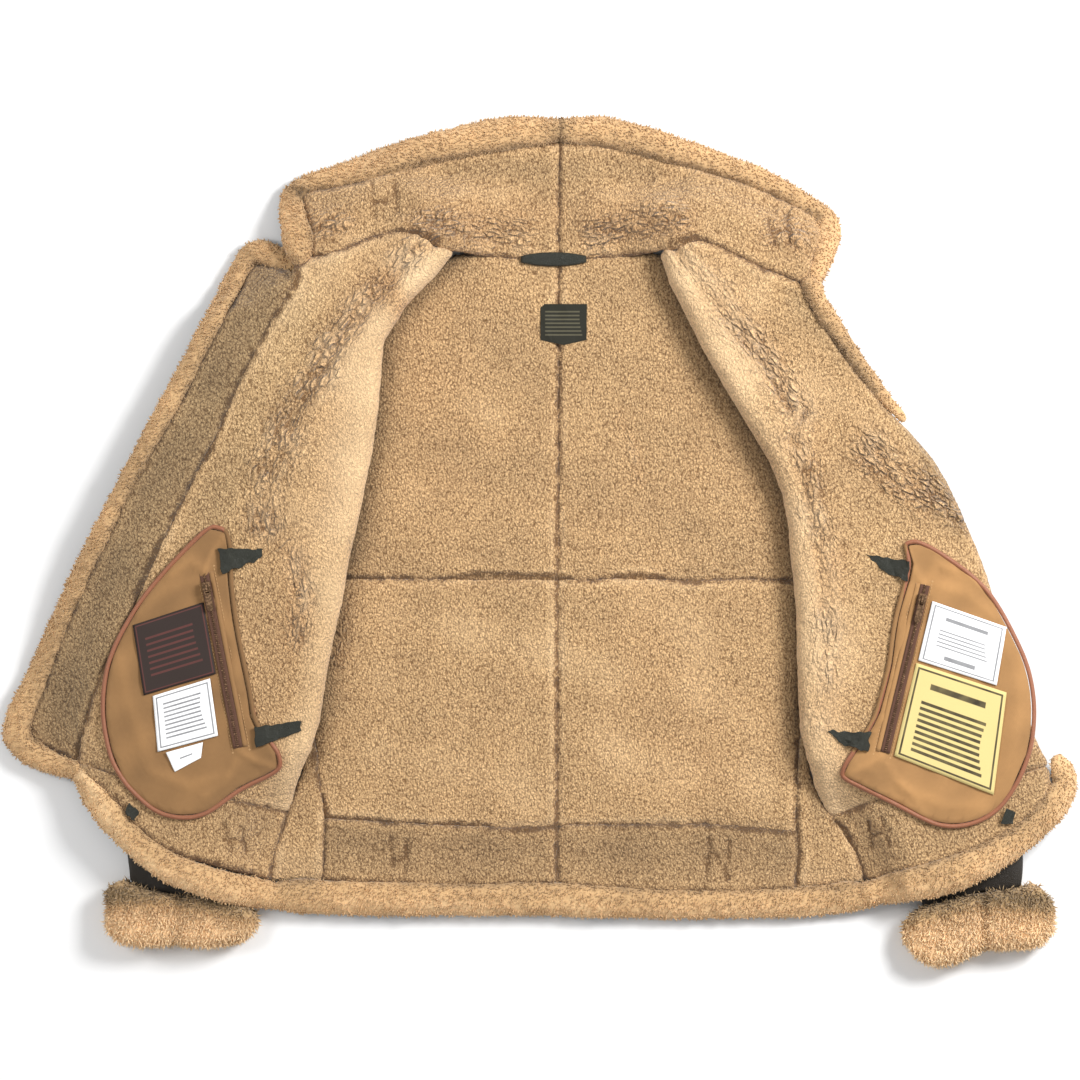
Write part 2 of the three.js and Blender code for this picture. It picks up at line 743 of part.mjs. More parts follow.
for (const side of ["left", "right"]) {
  const sign = mirror[side];
  const at = columns[side];
  const back = { across: 5, along: 5, under: floor, thick: wool };
  add(
    `back_upper_${side}`,
    "shearling",
    panel({
      ...back,
      plan: between({ inner: centre, outer: at.gusset, foot: yoke, top: shoulder, sign, start: 500 }),
    }),
  );
  add(
    `back_lower_${side}`,
    "shearling",
    panel({
      ...back,
      plan: between({
        inner: centre,
        outer: at.gusset,
        foot: (x) => backFoot(sign * x),
        top: yoke,
        sign,
        start: 200,
      }),
    }),
  );
  add(
    `hem_band_back_${side}`,
    "shearling",
    panel({
      ...back,
      along: 3,
      plan: between({
        inner: centre,
        outer: at.gusset,
        foot: (x) => hemTop(sign * x),
        top: (x) => backFoot(sign * x),
        sign,
        start: 60,
      }),
    }),
  );
  add(
    `gusset_${side}`,
    "shearling",
    panel({
      across: 2,
      along: 11,
      under: floor,
      thick: wool,
      inset: 0.06,
      plan: between({
        inner: (y) => at.gusset(y) + 3 * seamGap,
        outer: (y) => mix(at.fold(y) - 4 * seamGap, at.seam(y) - 1, smooth((y - 150) / 50)),
        foot: (x) => hemTop(sign * x),
        top: () => 405,
        sign,
        start: 200,
      }),
    }),
  );
}

// A front: its upper leg from the outer edge, the round of its fold, and the lower leg that
// goes back under it to the side seam
const upperSteps = 12;
const roundSteps = 6;
const legSteps = 2;
const frontRows = 18;
function front(side) {
  const sign = mirror[side];
  const at = columns[side];
  const fold = (y) => foldAt(side, y);
  const plan = between({
    inner: (y) => fold(y).centre,
    outer: at.edge,
    foot: at.foot,
    top: at.neck,
    sign: 1,
    start: 400,
  });
  const across = steps(upperSteps, 0.03)
    .slice(0, -1)
    .map((t) => 1 - t);
  const place = (x, y, z, nx, nz, half) => ({
    upper: [sign * (x + nx * half), y, Math.max(0, z + nz * half)],
    lower: [sign * (x - (nx * wool) / 2), y, Math.max(0, z - (nz * wool) / 2)],
  });
  return gridSolid(
    steps(frontRows, 0.012).map((v) => {
      const rim = v === 0 || v === 1 ? frontRim : 0.5;
      const row = across.map((u) => {
        const [x, y] = plan(u, v);
        return place(x, y, frontMiddle(side, x, y), 0, 1, wool * (u === 1 ? frontRim : rim));
      });
      const [, y] = plan(0, v);
      const round = fold(y);
      for (let i = 0; i <= roundSteps; i += 1) {
        const angle = (round.turn * i) / roundSteps;
        const x = round.centre - foldRadius * Math.sin(angle);
        const z = round.height + foldRadius * Math.cos(angle);
        row.push(place(x, y, z, -Math.sin(angle), Math.cos(angle), wool * rim));
      }
      const begin = round.centre - foldRadius * Math.sin(round.turn);
      const low = round.height + foldRadius * Math.cos(round.turn);
      const length = Math.max(2, at.seam(y) - begin);
      for (let i = 1; i <= legSteps; i += 1) {
        const travel = (length * i) / legSteps;
        const x = begin - Math.cos(round.turn) * travel;
        const z = low - Math.sin(round.turn) * travel;
        row.push(place(x, y, z, -Math.sin(round.turn), Math.cos(round.turn), wool * rim));
      }
      return row;
    }),
  );
}

for (const side of ["left", "right"]) {
  const sign = mirror[side];
  const at = columns[side];
  const onFront = (x, y) => frontUnder(side, Math.abs(x), y);
  add(`front_${side}`, "shearling", front(side));
  add(
    `front_hem_band_${side}`,
    "shearling",
    panel({
      across: 12,
      along: 3,
      thick: wool,
      under: onFront,
      inset: 0.03,
      plan: between({
        inner: (y) => at.fold(y) + seamGap,
        outer: (y) => at.edge(y) - 2,
        foot: at.roll,
        top: (x) => at.foot(x) - 2 * seamGap,
        sign,
        start: 90,
      }),
    }),
  );
}

// The wind flap carries on from the left front's edge
const flapUnder = (x, y) => frontUnder("left", Math.abs(x), y);
const flapEdge = curve(flapOuter, "y", "edge");
add(
  "wind_flap",
  "shearling",
  panel({
    across: 3,
    along: 19,
    thick: wool,
    under: flapUnder,
    inset: 0.04,
    plan: between({
      inner: (y) => columns.left.edge(y) + seamGap,
      outer: (y) => flapEdge(y) - rollGap,
      foot: curve(flapEnds, "x", "foot"),
      top: curve(flapEnds, "x", "top"),
      sign: -1,
      start: 400,
    }),
  }),
);
add(
  "flap_roll",
  "shearling",
  roll({ path: flapRollPath, count: 36, under: flapUnder, high: rollHigh.flap }),
);

// Rolls of the hem and of the right front's edge
const hemUnder = (x, y) => {
  const side = x < 0 ? "left" : "right";
  const out = Math.abs(x) - columns[side].fold(y);
  return out < 0 ? 0 : frontUnder(side, Math.abs(x), y);
};
for (const [name, path] of Object.entries(hemRollPath))
  add(
    `hem_roll_${name}`,
    "shearling",
    roll({ path, count: name === "back" ? 24 : 16, under: hemUnder, high: rollHigh.hem }),
  );
const frontRollUnder = (x, y) => rest("right", x, y);
add(
  "front_roll_right",
  "shearling",
  roll({ path: frontRollPath, count: 10, under: frontRollUnder, high: rollHigh.front }),
);

// The collar: on the fronts at its neck seam, down to the floor at its outer edge
const collarFall = 80; // how far past its neck seam it sinks to the floor
const collarHeld = { from: 58, over: 66 }; // x where the fronts begin to hold it up, and how fast
const collarRidge = { high: 9, away: 42, wide: 20, over: 40 }; // the crease along its stand
function collarUnder(side) {
  const seam = curve(collarRows[side], "x", "seam");
  return (signedX, y) => {
    const x = Math.abs(signedX);
    const neck = columns[side].neck(x);
    const high = frontUnder(side, Math.max(x, foldAt(side, neck).centre), neck);
    const held = high * smooth((x - collarHeld.from) / collarHeld.over);
    const away = y - seam(x);
    const hump = Math.exp(-(((away - collarRidge.away) / collarRidge.wide) ** 2));
    const ridge = collarRidge.high * hump * smooth(x / collarRidge.over);
    return held * (1 - smooth(away / collarFall)) + ridge;
  };
}
for (const side of ["left", "right"]) {
  const rows = collarRows[side];
  const under = collarUnder(side);
  const end = curve(collarEnd[side], "y", "end");
  const top = curve(rows, "x", "roll");
  add(
    `collar_${side}`,
    "shearling",
    panel({
      across: 13,
      along: 6,
      thick: wool,
      under,
      inset: 0.03,
      plan: between({
        inner: centre,
        outer: (y) => end(y) - 2 * rollGap,
        foot: curve(rows, "x", "seam"),
        top: (x) => top(x) - 1.5 * rollGap,
        sign: mirror[side],
        start: 710,
      }),
    }),
  );
  add(
    `collar_roll_${side}`,
    "shearling",
    roll({ path: collarRollPath[side], count: 23, under, high: rollHigh.collar }),
  );
}

const sleeveHead = 622; // y of a sleeve's head, under the front
const sleeveLayer = 0.5; // between a sleeve's or cuff's two walls
const sleeveEdge = 4; // a front reaches past the sleeve under it by this much
const cuffJoin = 0.8;

// Sleeves and cuffs, each an upper and an under wall lying on each other
for (const side of ["left", "right"]) {
  const sign = mirror[side];
  const at = columns[side];
  const cuffTop = curve(cuffRows[side], "x", "top");
  const cuffFoot = curve(cuffRows[side], "x", "foot");
  const cuffX = cuffRows[side].map(({ x }) => x);
  const layers = [
    { layer: "under", sleeve: 0, cuff: 0 },
    { layer: "upper", sleeve: wool + sleeveLayer, cuff: cuffWall + sleeveLayer },
  ];
  for (const { layer, sleeve, cuff } of layers) {
    add(
      `sleeve_${layer}_${side}`,
      "leather",
      panel({
        across: 3,
        along: 12,
        thick: wool,
        under: () => sleeve,
        edge: layer === "upper" ? softEdge : 1,
        plan: between({
          inner: at.sleeveIn,
          outer: (y) => at.sleeveOut(y) - sleeveEdge,
          foot: (x) => cuffTop(x) + cuffJoin,
          top: () => sleeveHead,
          sign,
          start: 300,
        }),
      }),
    );
    add(
      `cuff_${layer}_${side}`,
      "shearling",
      panel({
        across: 7,
        along: 3,
        thick: cuffWall,
        under: () => cuff,
        edge: layer === "upper" ? 0.5 : 1,
        inset: 0.08,
        plan: between({
          inner: () => cuffX[0],
          outer: () => cuffX[cuffX.length - 1],
          foot: cuffFoot,
          top: cuffTop,
          sign,
          start: 0,
        }),
      }),
    );
  }
}

// Pocket bags and what lies on them
const layGap = 1.6; // from a front to what lies on it
const zipLift = 0.8; // from a bag to what lies on it
const patchGap = 0.5; // from a hem band to the small patch on it
const bagGap = 2.6; // from a bag to its piping, whose side bulges
for (const side of ["left", "right"]) {
  const sign = mirror[side];
  const sides = bagSides[side];
  const ends = bagEnds[side];
  const lie = (x, y) => frontTop(side, Math.abs(x), y) + layGap;
  const outline = {
    inner: curve(sides, "y", "inner"),
    outer: curve(sides, "y", "outer"),
    foot: curve(ends, "x", "foot"),
    top: curve(ends, "x", "tip"),
    sign,
    start: 240,
  };
  add(
    `pocket_bag_${side}`,
    "cotton",
    panel({
      across: 9,
      along: 13,
      thick: cotton,
      under: lie,
      edge: 1,
      plan: between({ ...outline, gap: pipingWide / 2 + bagGap }),
    }),
  );
  const edge = between({ ...outline, gap: 0.1 });
  const loop = [];
  const walk = [
    { count: 9, at: (t) => [t, 0] },
    { count: 13, at: (t) => [1, t] },
    { count: 3, at: (t) => [1 - t, 1] },
    { count: 13, at: (t) => [0, 1 - t] },
  ];
  for (const { count, at } of walk)
    for (let i = 0; i < count; i += 1) {
      const [x, y] = edge(...at(i / count));
      loop.push({ x, y, wide: pipingWide });
    }
  add(
    `pocket_piping_${side}`,
    "piping",
    roll({ path: loop, count: 44, under: lie, high: pipingHigh / pipingWide, closed: true, sides: 6 }),
  );
}

// A quadrilateral on what is below it
function quadrilateral({ side, corners }, under, thick, cells = 3) {
  const sign = mirror[side];
  const [a, b, c, d] = corners;
  const plan = (u, v) => {
    const foot = [mix(d[0], c[0], u), mix(d[1], c[1], u)];
    const top = [mix(a[0], b[0], u), mix(a[1], b[1], u)];
    return [sign * mix(foot[0], top[0], v), mix(foot[1], top[1], v)];
  };
  return panel({ plan, across: cells, along: cells, under, thick, edge: 1 });
}
const bagTop = (side) => (x, y) => frontTop(side, Math.abs(x), y) + layGap + cotton;
const labelFinish = {
  label_brown: "label_dark",
  label_white_left: "label_white",
  label_small: "label_white",
  label_white_right: "label_white",
  label_yellow: "label_yellow",
};
for (const [name, spec] of Object.entries(labels)) {
  const top = bagTop(spec.side);
  const under = (x, y) => top(x, y) + zipLift;
  add(name, labelFinish[name], quadrilateral(spec, under, label));
}
const tabRise = { reach: 13, over: 8, clear: 1.2 }; // how a tab climbs on to the piping
for (const [name, spec] of Object.entries(tabs)) {
  const inner = curve(bagSides[spec.side], "y", "inner");
  const under = (x, y) => {
    const over = smooth((Math.abs(x) - inner(y) + tabRise.reach) / tabRise.over);
    const rise = over * (pipingHigh + tabRise.clear);
    return frontTop(spec.side, Math.abs(x), y) + layGap + rise;
  };
  add(name, "leather", quadrilateral(spec, under, leather, 2));
}
for (const [name, spec] of Object.entries(patches)) {
  const under = (x, y) => frontTop(spec.side, Math.abs(x), y) + patchGap;
  add(name, "leather", quadrilateral(spec, under, leather, 1));
}

// Neck label and hanger loop
const flat = (spec, u, v) => [mix(...spec.x, u), mix(...spec.y, v)];
add(
  "neck_label",
  "label_dark",
  panel({
    plan: (u, v) => flat(neckLabel, u, v),
    across: 2,
    along: 2,
    under: () => backTop + seamGap,
    thick: label,
    edge: 1,
  }),
);
add(
  "hanger_loop",
  "leather",
  panel({
    plan: (u, v) => {
      const [x, y] = flat(hangerLoop, u, 0.5);
      const belly = Math.sqrt(Math.sin(Math.PI * mix(0.06, 0.94, u)));
      return [x, y + (v - 0.5) * (hangerLoop.y[1] - hangerLoop.y[0]) * belly];
    },
    across: 8,
    along: 2,
    under: () => backTop + hangerLoop.lift,
    thick: hangerLoop.high,
    edge: 0.4,
  }),
);

// Zips: a tape with its raised chain, a slider at the top and a pull tab hinged on the slider
const slider = { wide: 8, long: 11, high: 3.4, down: 14.5 };
const bridge = { wide: 1.8, long: 7, bar: 1.1, window: 2.1 };
const pull = { long: 24, wide: 6.4, thick: 1, eye: 6.2, bar: 1, arm: 1.3, droop: 5, corner: 2 };
const chainGap = 0.35;

function zipTapeSolid(side, { top, foot }) {
  const sign = mirror[side];
  const length = Math.hypot(top[0] - foot[0], top[1] - foot[1]);
  const across = [(top[1] - foot[1]) / length, -(top[0] - foot[0]) / length];
  const under = bagTop(side);
  const section = [
    { out: -zipWide / 2, high: zipTape },
    { out: -chainWide / 2 - chainSlope, high: zipTape },
    { out: -chainWide / 2, high: zipTape + chainHigh },
    { out: chainWide / 2, high: zipTape + chainHigh },
    { out: chainWide / 2 + chainSlope, high: zipTape },
    { out: zipWide / 2, high: zipTape },
  ];
  const count = 11;
  const grid = [];
  for (let i = 0; i <= count; i += 1) {
    const x = mix(foot[0], top[0], i / count);
    const y = mix(foot[1], top[1], i / count);
    const z = under(x, y) + zipLift;
    grid.push(
      section.map(({ out, high }) => {
        const place = [sign * (x + across[0] * out), y + across[1] * out];
        return { upper: [...place, z + high], lower: [...place, z] };
      }),
    );
  }
  return gridSolid(grid);
}

const axes = [new THREE.Vector3(1, 0, 0), new THREE.Vector3(0, 1, 0), new THREE.Vector3(0, 0, 1)];
const plain = { bevelEnabled: false, curveSegments: 5 };

// A closed outline of points, as a shape
const outlineOf = (points) => new THREE.Shape(points.map(([x, y]) => new THREE.Vector2(x, y)));

// An outline drawn in y and z, given its width in x
function profile(points, wide) {
  const geometry = new THREE.ExtrudeGeometry(outlineOf(points), { ...plain, depth: wide });
  geometry.translate(0, 0, -wide / 2);
  const [x, y, z] = axes;
  return geometry.applyMatrix4(new THREE.Matrix4().makeBasis(y, z, x));
}

const wasm = await Module();
wasm.setup();

// Two closed geometries joined into one
function join(first, second) {
  const [a, b] = [first, second].map((geometry) => {
    const bare = geometry.clone();
    bare.deleteAttribute("normal");
    bare.deleteAttribute("uv");
    const merged = mergeVertices(bare, 1e-4);
    const vertProperties = merged.attributes.position.array;
    const triVerts = new Uint32Array(merged.index.array);
    return new wasm.Manifold(new wasm.Mesh({ numProp: 3, vertProperties, triVerts }));
  });
  const mesh = a.add(b).getMesh();
  return outward(Array.from(mesh.vertProperties), Array.from(mesh.triVerts));
}

// The slider's body, with the bridge over it that the pull hangs on
function sliderSolid() {
  const half = slider.long / 2;
  const { high } = slider;
  const chamfer = 0.8;
  const body = profile(
    [
      [-half, chamfer],
      [-half + 1, 0],
      [half - 1, 0],
      [half, chamfer],
      [half, high - chamfer],
      [half - 1, high],
      [-half + 1, high],
      [-half, high - chamfer],
    ],
    slider.wide,
  );
  const span = bridge.long / 2;
  const crown = high + bridge.window + bridge.bar;
  const sunk = high - 0.4;
  const arch = profile(
    [
      [-span, sunk],
      [-span + bridge.bar, sunk],
      [-span + bridge.bar, crown - bridge.bar],
      [span - bridge.bar, crown - bridge.bar],
      [span - bridge.bar, sunk],
      [span, sunk],
      [span, crown - chamfer],
      [span - chamfer, crown],
      [-span + chamfer, crown],
      [-span, crown - chamfer],
    ],
    bridge.wide,
  );
  return join(body, arch);
}

// The pull tab about its hinge: a cross bar at the origin, two arms and a plate
function pullSolid() {
  const half = pull.wide / 2;
  const end = -pull.long;
  const { corner } = pull;
  const outer = outlineOf([
    [half - corner / 2, pull.bar / 2],
    [-half + corner / 2, pull.bar / 2],
    [-half, pull.bar / 2 - corner / 2],
    [-half, end + corner],
    [-half + corner, end],
    [half - corner, end],
    [half, end + corner],
    [half, pull.bar / 2 - corner / 2],
  ]);
  const inside = half - pull.arm;
  const eye = [
    [inside, -pull.bar / 2],
    [-inside, -pull.bar / 2],
    [-inside, -pull.eye],
    [inside, -pull.eye],
  ];
  outer.holes.push(new THREE.Path(eye.map(([x, y]) => new THREE.Vector2(x, y))));
  const geometry = new THREE.ExtrudeGeometry(outer, { ...plain, depth: pull.thick });
  geometry.translate(0, 0, -pull.thick / 2);
  return geometry;
}

for (const side of ["left", "right"]) {
  const sign = mirror[side];
  const { top, foot } = zips[side];
  add(`pocket_zip_${side}`, "zip_tape", zipTapeSolid(side, zips[side]));

  const t = 1 - slider.down / Math.hypot(top[0] - foot[0], top[1] - foot[1]);
  const surface = (share) => {
    const x = mix(foot[0], top[0], share);
    const y = mix(foot[1], top[1], share);
    return new THREE.Vector3(sign * x, y, bagTop(side)(x, y) + zipLift + zipTape + chainHigh);
  };
  const step = 0.04;
  const up = surface(t + step).sub(surface(t - step)).normalize();
  const out = new THREE.Vector3().crossVectors(up, axes[2]).normalize();
  const normal = new THREE.Vector3().crossVectors(out, up);
  const carriage = new THREE.Group();
  carriage.position.copy(surface(t)).addScaledVector(normal, chainGap);
  carriage.quaternion.setFromRotationMatrix(new THREE.Matrix4().makeBasis(out, up, normal));
  coat.add(carriage);
  add(`zip_slider_${side}`, "metal", sliderSolid(), carriage);
  const hinge = add(`zip_pull_${side}`, "metal", pullSolid(), carriage);
  hinge.position.z = slider.high + bridge.window / 2;
  hinge.rotation.x = THREE.MathUtils.degToRad(pull.droop);
}

// The origin under the middle of the coat, on the surface that it lies on
coat.updateMatrixWorld(true);
const bounds = new THREE.Box3().setFromObject(coat, true);
const middle = bounds.getCenter(new THREE.Vector3());
coat.position.set(-middle.x, -middle.y, -bounds.min.z);

export default coat;
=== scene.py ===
"""A shearling flight coat laid open on its back, wool side up, dressed over its packed solids."""

import functools
import itertools
import math

import bmesh
import bpy
import numpy as np
from bpy.props import FloatProperty, FloatVectorProperty, PointerProperty
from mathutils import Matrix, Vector
from mathutils.bvhtree import BVHTree


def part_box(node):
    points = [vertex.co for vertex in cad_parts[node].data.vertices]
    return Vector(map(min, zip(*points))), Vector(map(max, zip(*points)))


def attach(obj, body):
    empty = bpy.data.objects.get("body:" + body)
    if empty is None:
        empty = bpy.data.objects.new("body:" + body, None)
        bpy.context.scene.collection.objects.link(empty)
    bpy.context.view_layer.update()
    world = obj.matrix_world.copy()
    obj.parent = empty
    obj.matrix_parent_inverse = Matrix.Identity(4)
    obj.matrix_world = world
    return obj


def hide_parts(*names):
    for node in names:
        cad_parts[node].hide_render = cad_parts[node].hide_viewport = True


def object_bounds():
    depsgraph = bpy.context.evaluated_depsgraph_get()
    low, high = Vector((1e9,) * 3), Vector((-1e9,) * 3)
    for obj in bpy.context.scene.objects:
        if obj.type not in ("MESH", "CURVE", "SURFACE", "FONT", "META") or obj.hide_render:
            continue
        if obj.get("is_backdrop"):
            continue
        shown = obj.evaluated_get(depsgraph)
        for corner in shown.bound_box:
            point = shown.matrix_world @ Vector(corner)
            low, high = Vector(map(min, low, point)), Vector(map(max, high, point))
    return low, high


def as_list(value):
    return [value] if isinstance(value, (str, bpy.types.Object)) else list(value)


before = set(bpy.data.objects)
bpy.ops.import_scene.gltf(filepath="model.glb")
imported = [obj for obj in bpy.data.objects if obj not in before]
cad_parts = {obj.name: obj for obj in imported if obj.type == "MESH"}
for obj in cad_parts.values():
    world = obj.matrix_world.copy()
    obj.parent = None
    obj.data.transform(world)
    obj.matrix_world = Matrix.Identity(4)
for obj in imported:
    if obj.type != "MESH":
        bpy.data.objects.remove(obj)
cad_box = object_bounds()

bl_info = {
    "name": "Shearling coat",
    "version": (1, 0, 0),
    "blender": (4, 5, 0),
    "location": "View3D > Sidebar > Coat",
    "description": "Wool, leather and pocket detail for a shearling coat laid open",
    "category": "Add Mesh",
}

MM = 0.001
WELD = 1e-6
SIDES = ("left", "right")

# Plan places are given in millimetres right of and down from the corner of a square
# 1080 mm wide that is centred on the coat.
CORNER = (539.47, 540.25)


def spot(x, y):
    """A plan place as x and y in the frame, in metres."""
    return (x - CORNER[0]) * MM, (CORNER[1] - y) * MM


# Every wool node, with the width and length of its cut in metres
CUTS = {
    "back_upper_left": (0.243, 0.335),
    "back_upper_right": (0.246, 0.335),
    "back_lower_left": (0.246, 0.252),
    "back_lower_right": (0.247, 0.254),
    "hem_band_back_left": (0.24, 0.066),
    "hem_band_back_right": (0.243, 0.068),
    "gusset_left": (0.06, 0.375),
    "gusset_right": (0.08, 0.38),
    "front_left": (0.47, 0.6),
    "front_right": (0.47, 0.6),
    "front_hem_band_left": (0.23, 0.11),
    "front_hem_band_right": (0.24, 0.12),
    "wind_flap": (0.1, 0.56),
    "flap_roll": (0.045, 0.68),
    "hem_roll_left": (0.06, 0.24),
    "hem_roll_back": (0.06, 0.6),
    "hem_roll_right": (0.06, 0.27),
    "front_roll_right": (0.034, 0.17),
    "collar_left": (0.256, 0.125),
    "collar_right": (0.27, 0.125),
    "collar_roll_left": (0.055, 0.36),
    "collar_roll_right": (0.055, 0.35),
    "cuff_under_left": (0.15, 0.056),
    "cuff_under_right": (0.15, 0.06),
    "cuff_upper_left": (0.15, 0.056),
    "cuff_upper_right": (0.15, 0.06),
}
SLEEVES = {
    "sleeve_under_left": (0.2, 0.61),
    "sleeve_upper_left": (0.2, 0.61),
    "sleeve_under_right": (0.2, 0.62),
    "sleeve_upper_right": (0.2, 0.62),
}
ROLLS = ("flap_roll", "hem_roll_", "front_roll", "collar_roll")
# Seams where the wool parts, and the nodes that each runs on
BACK_NODES = ("back_", "hem_band_back", "gusset")
COLLAR_NODES = ("collar_left", "collar_right")
SEAMS = [
    (BACK_NODES, [(559, 256), (558, 340), (558, 455), (556, 575), (557, 700), (556, 830), (557, 888)]),
    (BACK_NODES, [
        (335, 576), (386, 579), (427, 580), (482, 574), (554, 576), (585, 581), (640, 575), (689, 583),
        (744, 579), (795, 582),
    ]),
    (BACK_NODES, [
        (325, 819), (357, 819), (386, 823), (472, 826), (511, 831), (551, 829), (570, 826), (646, 826),
        (707, 826), (753, 831), (793, 834),
    ]),
    (("hem_", "front_hem"), [
        (117, 796), (131, 821), (151, 837), (172, 851), (186, 855), (213, 862), (239, 870), (260, 877),
        (276, 884), (296, 885), (321, 881), (390, 884), (432, 887), (493, 886), (554, 884), (615, 890),
        (677, 893), (738, 893), (790, 890), (840, 890), (860, 886), (887, 874), (923, 866), (943, 860),
        (981, 845), (1010, 830), (1025, 818), (1038, 805), (1048, 791), (1055, 780),
    ]),
    (BACK_NODES, [(313, 743), (313, 765), (318, 786), (323, 801), (325, 814), (323, 837), (322, 877)]),
    (BACK_NODES, [(797, 743), (798, 784), (797, 817), (799, 844), (800, 864), (796, 884)]),
    (("front_hem", "gusset", "hem_band"), [(295, 786), (286, 815), (275, 850), (268, 878)]),
    (("front_hem", "gusset", "hem_band"), [(834, 820), (848, 832), (854, 847), (860, 864), (867, 881)]),
    (("front_",), [(233, 800), (262, 808), (286, 813)]),
    (("front_",), [(832, 817), (851, 813), (874, 801)]),
    (("front_left", "wind_flap"), [
        (300, 275), (297, 287), (276, 317), (257, 351), (233, 394), (212, 448), (198, 469), (171, 523),
        (145, 574), (128, 623), (94, 698), (78, 747), (80, 763),
    ]),
    (("flap_roll", "wind_flap"), [
        (289, 279), (276, 268), (252, 263), (230, 309), (209, 346), (188, 389), (163, 434), (134, 483),
        (107, 543), (85, 587), (63, 635), (46, 684), (31, 717), (27, 737), (36, 744), (58, 751), (73, 759),
    ]),
    (("collar_",), [
        (298, 191), (337, 188), (367, 181), (394, 170), (432, 159), (470, 153), (509, 147), (560, 142),
        (601, 144), (626, 149), (654, 156), (683, 163), (724, 176), (764, 190), (795, 206), (818, 217),
    ]),
    (("collar_",), [(298, 195), (306, 209), (308, 228), (312, 247)]),
    (("collar_",), [(560, 118), (559, 190), (558, 255)]),
    (("collar_", "front_left"), [
        (300, 268), (312, 260), (336, 254), (375, 237), (401, 232), (424, 234), (438, 242),
    ]),
    (("collar_", "front_right"), [
        (671, 243), (695, 239), (713, 245), (744, 261), (764, 272), (801, 282), (811, 286),
    ]),
    (("collar_", "back_"), [
        (453, 253), (470, 254), (522, 258), (558, 258), (585, 257), (622, 255), (650, 253),
    ]),
    (("front_roll", "front_right"), [(801, 282), (813, 312), (842, 352), (872, 392)]),
]

# Joins that the wool of the pieces beside them stands out to close: nodes, line, reach, half width
JOIN_NODES = ("hem_", "flap_roll", "collar_", "front_roll") + COLLAR_NODES
WIDE_JOIN, PLAIN_JOIN = (2.6, 10), (2.2, 6)
JOINS = [(nodes, line, *(WIDE_JOIN if set(nodes) & set(JOIN_NODES) else PLAIN_JOIN))
         for nodes, line in SEAMS]
JOINS += [
    (("hem_roll",), [(267, 885), (267, 908)], 4.0, 9),
    (("hem_roll",), [(866, 885), (866, 905)], 4.0, 9),
    (("flap_roll", "wind_flap", "collar_roll_left", "collar_left"), [(288, 240), (300, 264)], 5.0, 10),
    (("flap_roll", "wind_flap", "hem_roll_left", "front_"), [(76, 765), (84, 775)], 4.0, 9),
    (("collar_", "front_"), [(804, 268), (815, 286)], 4.0, 9),
]

# Corners whose wool is drawn over to meet its neighbour's: nodes, place, half width, shift
PULLS = [
    (("flap_roll",), (284, 262), 12, (12, 3)),
    (("wind_flap",), (294, 276), 14, (5, -6)),
    (("collar_roll_left",), (296, 256), 10, (0, 5)),
    (("front_left",), (302, 266), 12, (-4, -3)),
    (("collar_right",), (810, 238), 16, (9, 0)),
    (("collar_roll_right",), (824, 238), 14, (-3, 0)),
    (("collar_roll_right",), (812, 270), 10, (-1, 6)),
    (("front_roll_right",), (812, 288), 12, (-4, -6)),
    (("flap_roll",), (78, 765), 14, (8, 0)),
    (("wind_flap",), (78, 742), 14, (6, 0)),
    (("hem_roll_left",), (82, 785), 13, (-3, -8)),
    (("hem_roll_left",), (266, 892), 10, (4, 0)),
    (("hem_roll_back",), (269, 892), 10, (-4, 0)),
    (("hem_roll_back",), (866, 892), 10, (4, 0)),
    (("hem_roll_right",), (867, 892), 10, (-4, 0)),
    (("collar_left",), (552, 147), 20, (0, -6)),
    (("collar_right",), (568, 147), 22, (0, -6)),
    (("collar_roll_",), (562, 136), 20, (0, 3)),
]

# Rows of hand stitches and darts that press the wool down in short marks
MARKS = [
    (COLLAR_NODES, [(372, 184), (375, 218)], [(394, 182), (397, 214)], [(375, 204), (396, 200)]),
    (COLLAR_NODES, [(767, 220), (775, 249)], [(787, 217), (789, 245)], [(770, 236), (788, 228)]),
    (("hem_band",), [(390, 838), (392, 866)], [(406, 842), (405, 876)], [(390, 861), (406, 858)]),
    (("hem_band",), [(709, 839), (707, 879)], [(728, 840), (727, 880)], [(709, 846), (727, 872)]),
    (("front_hem",), [(224, 823), (232, 849)], [(242, 828), (246, 852)], [(226, 838), (247, 842)]),
    (("front_hem",), [(868, 821), (872, 849)], [(880, 817), (888, 846)], [(870, 836), (888, 830)]),
]

# Bands where the skin is creased and the wool opens in cracks: nodes, line, half width, depth
CREASES = [
    (("front_left",), [
        (445, 238), (412, 262), (372, 304), (336, 345), (306, 392), (283, 436), (268, 480), (266, 520),
    ], 22, 1.0),
    (("front_left",), [(300, 560), (306, 600), (300, 640)], 16, 0.8),
    (("front_right",), [
        (668, 243), (690, 278), (716, 303), (748, 345), (778, 384), (797, 411), (790, 441), (800, 482),
        (812, 528), (819, 580), (822, 632), (813, 675), (808, 720),
    ], 20, 1.0),
    (("front_right",), [(868, 452), (905, 480), (957, 512)], 22, 0.9),
    (COLLAR_NODES, [(427, 232), (462, 224), (516, 232)], 22, 0.75),
    (COLLAR_NODES, [(596, 236), (630, 224), (676, 222)], 20, 0.75),
    (COLLAR_NODES, [(308, 238), (325, 228), (345, 222)], 14, 0.7),
    (COLLAR_NODES, [(768, 236), (780, 226), (800, 240)], 16, 0.7),
    (("back_",), [(618, 415), (632, 445), (640, 480)], 7, 0.4),
    (("back_",), [(345, 600), (338, 660)], 12, 0.45),
]

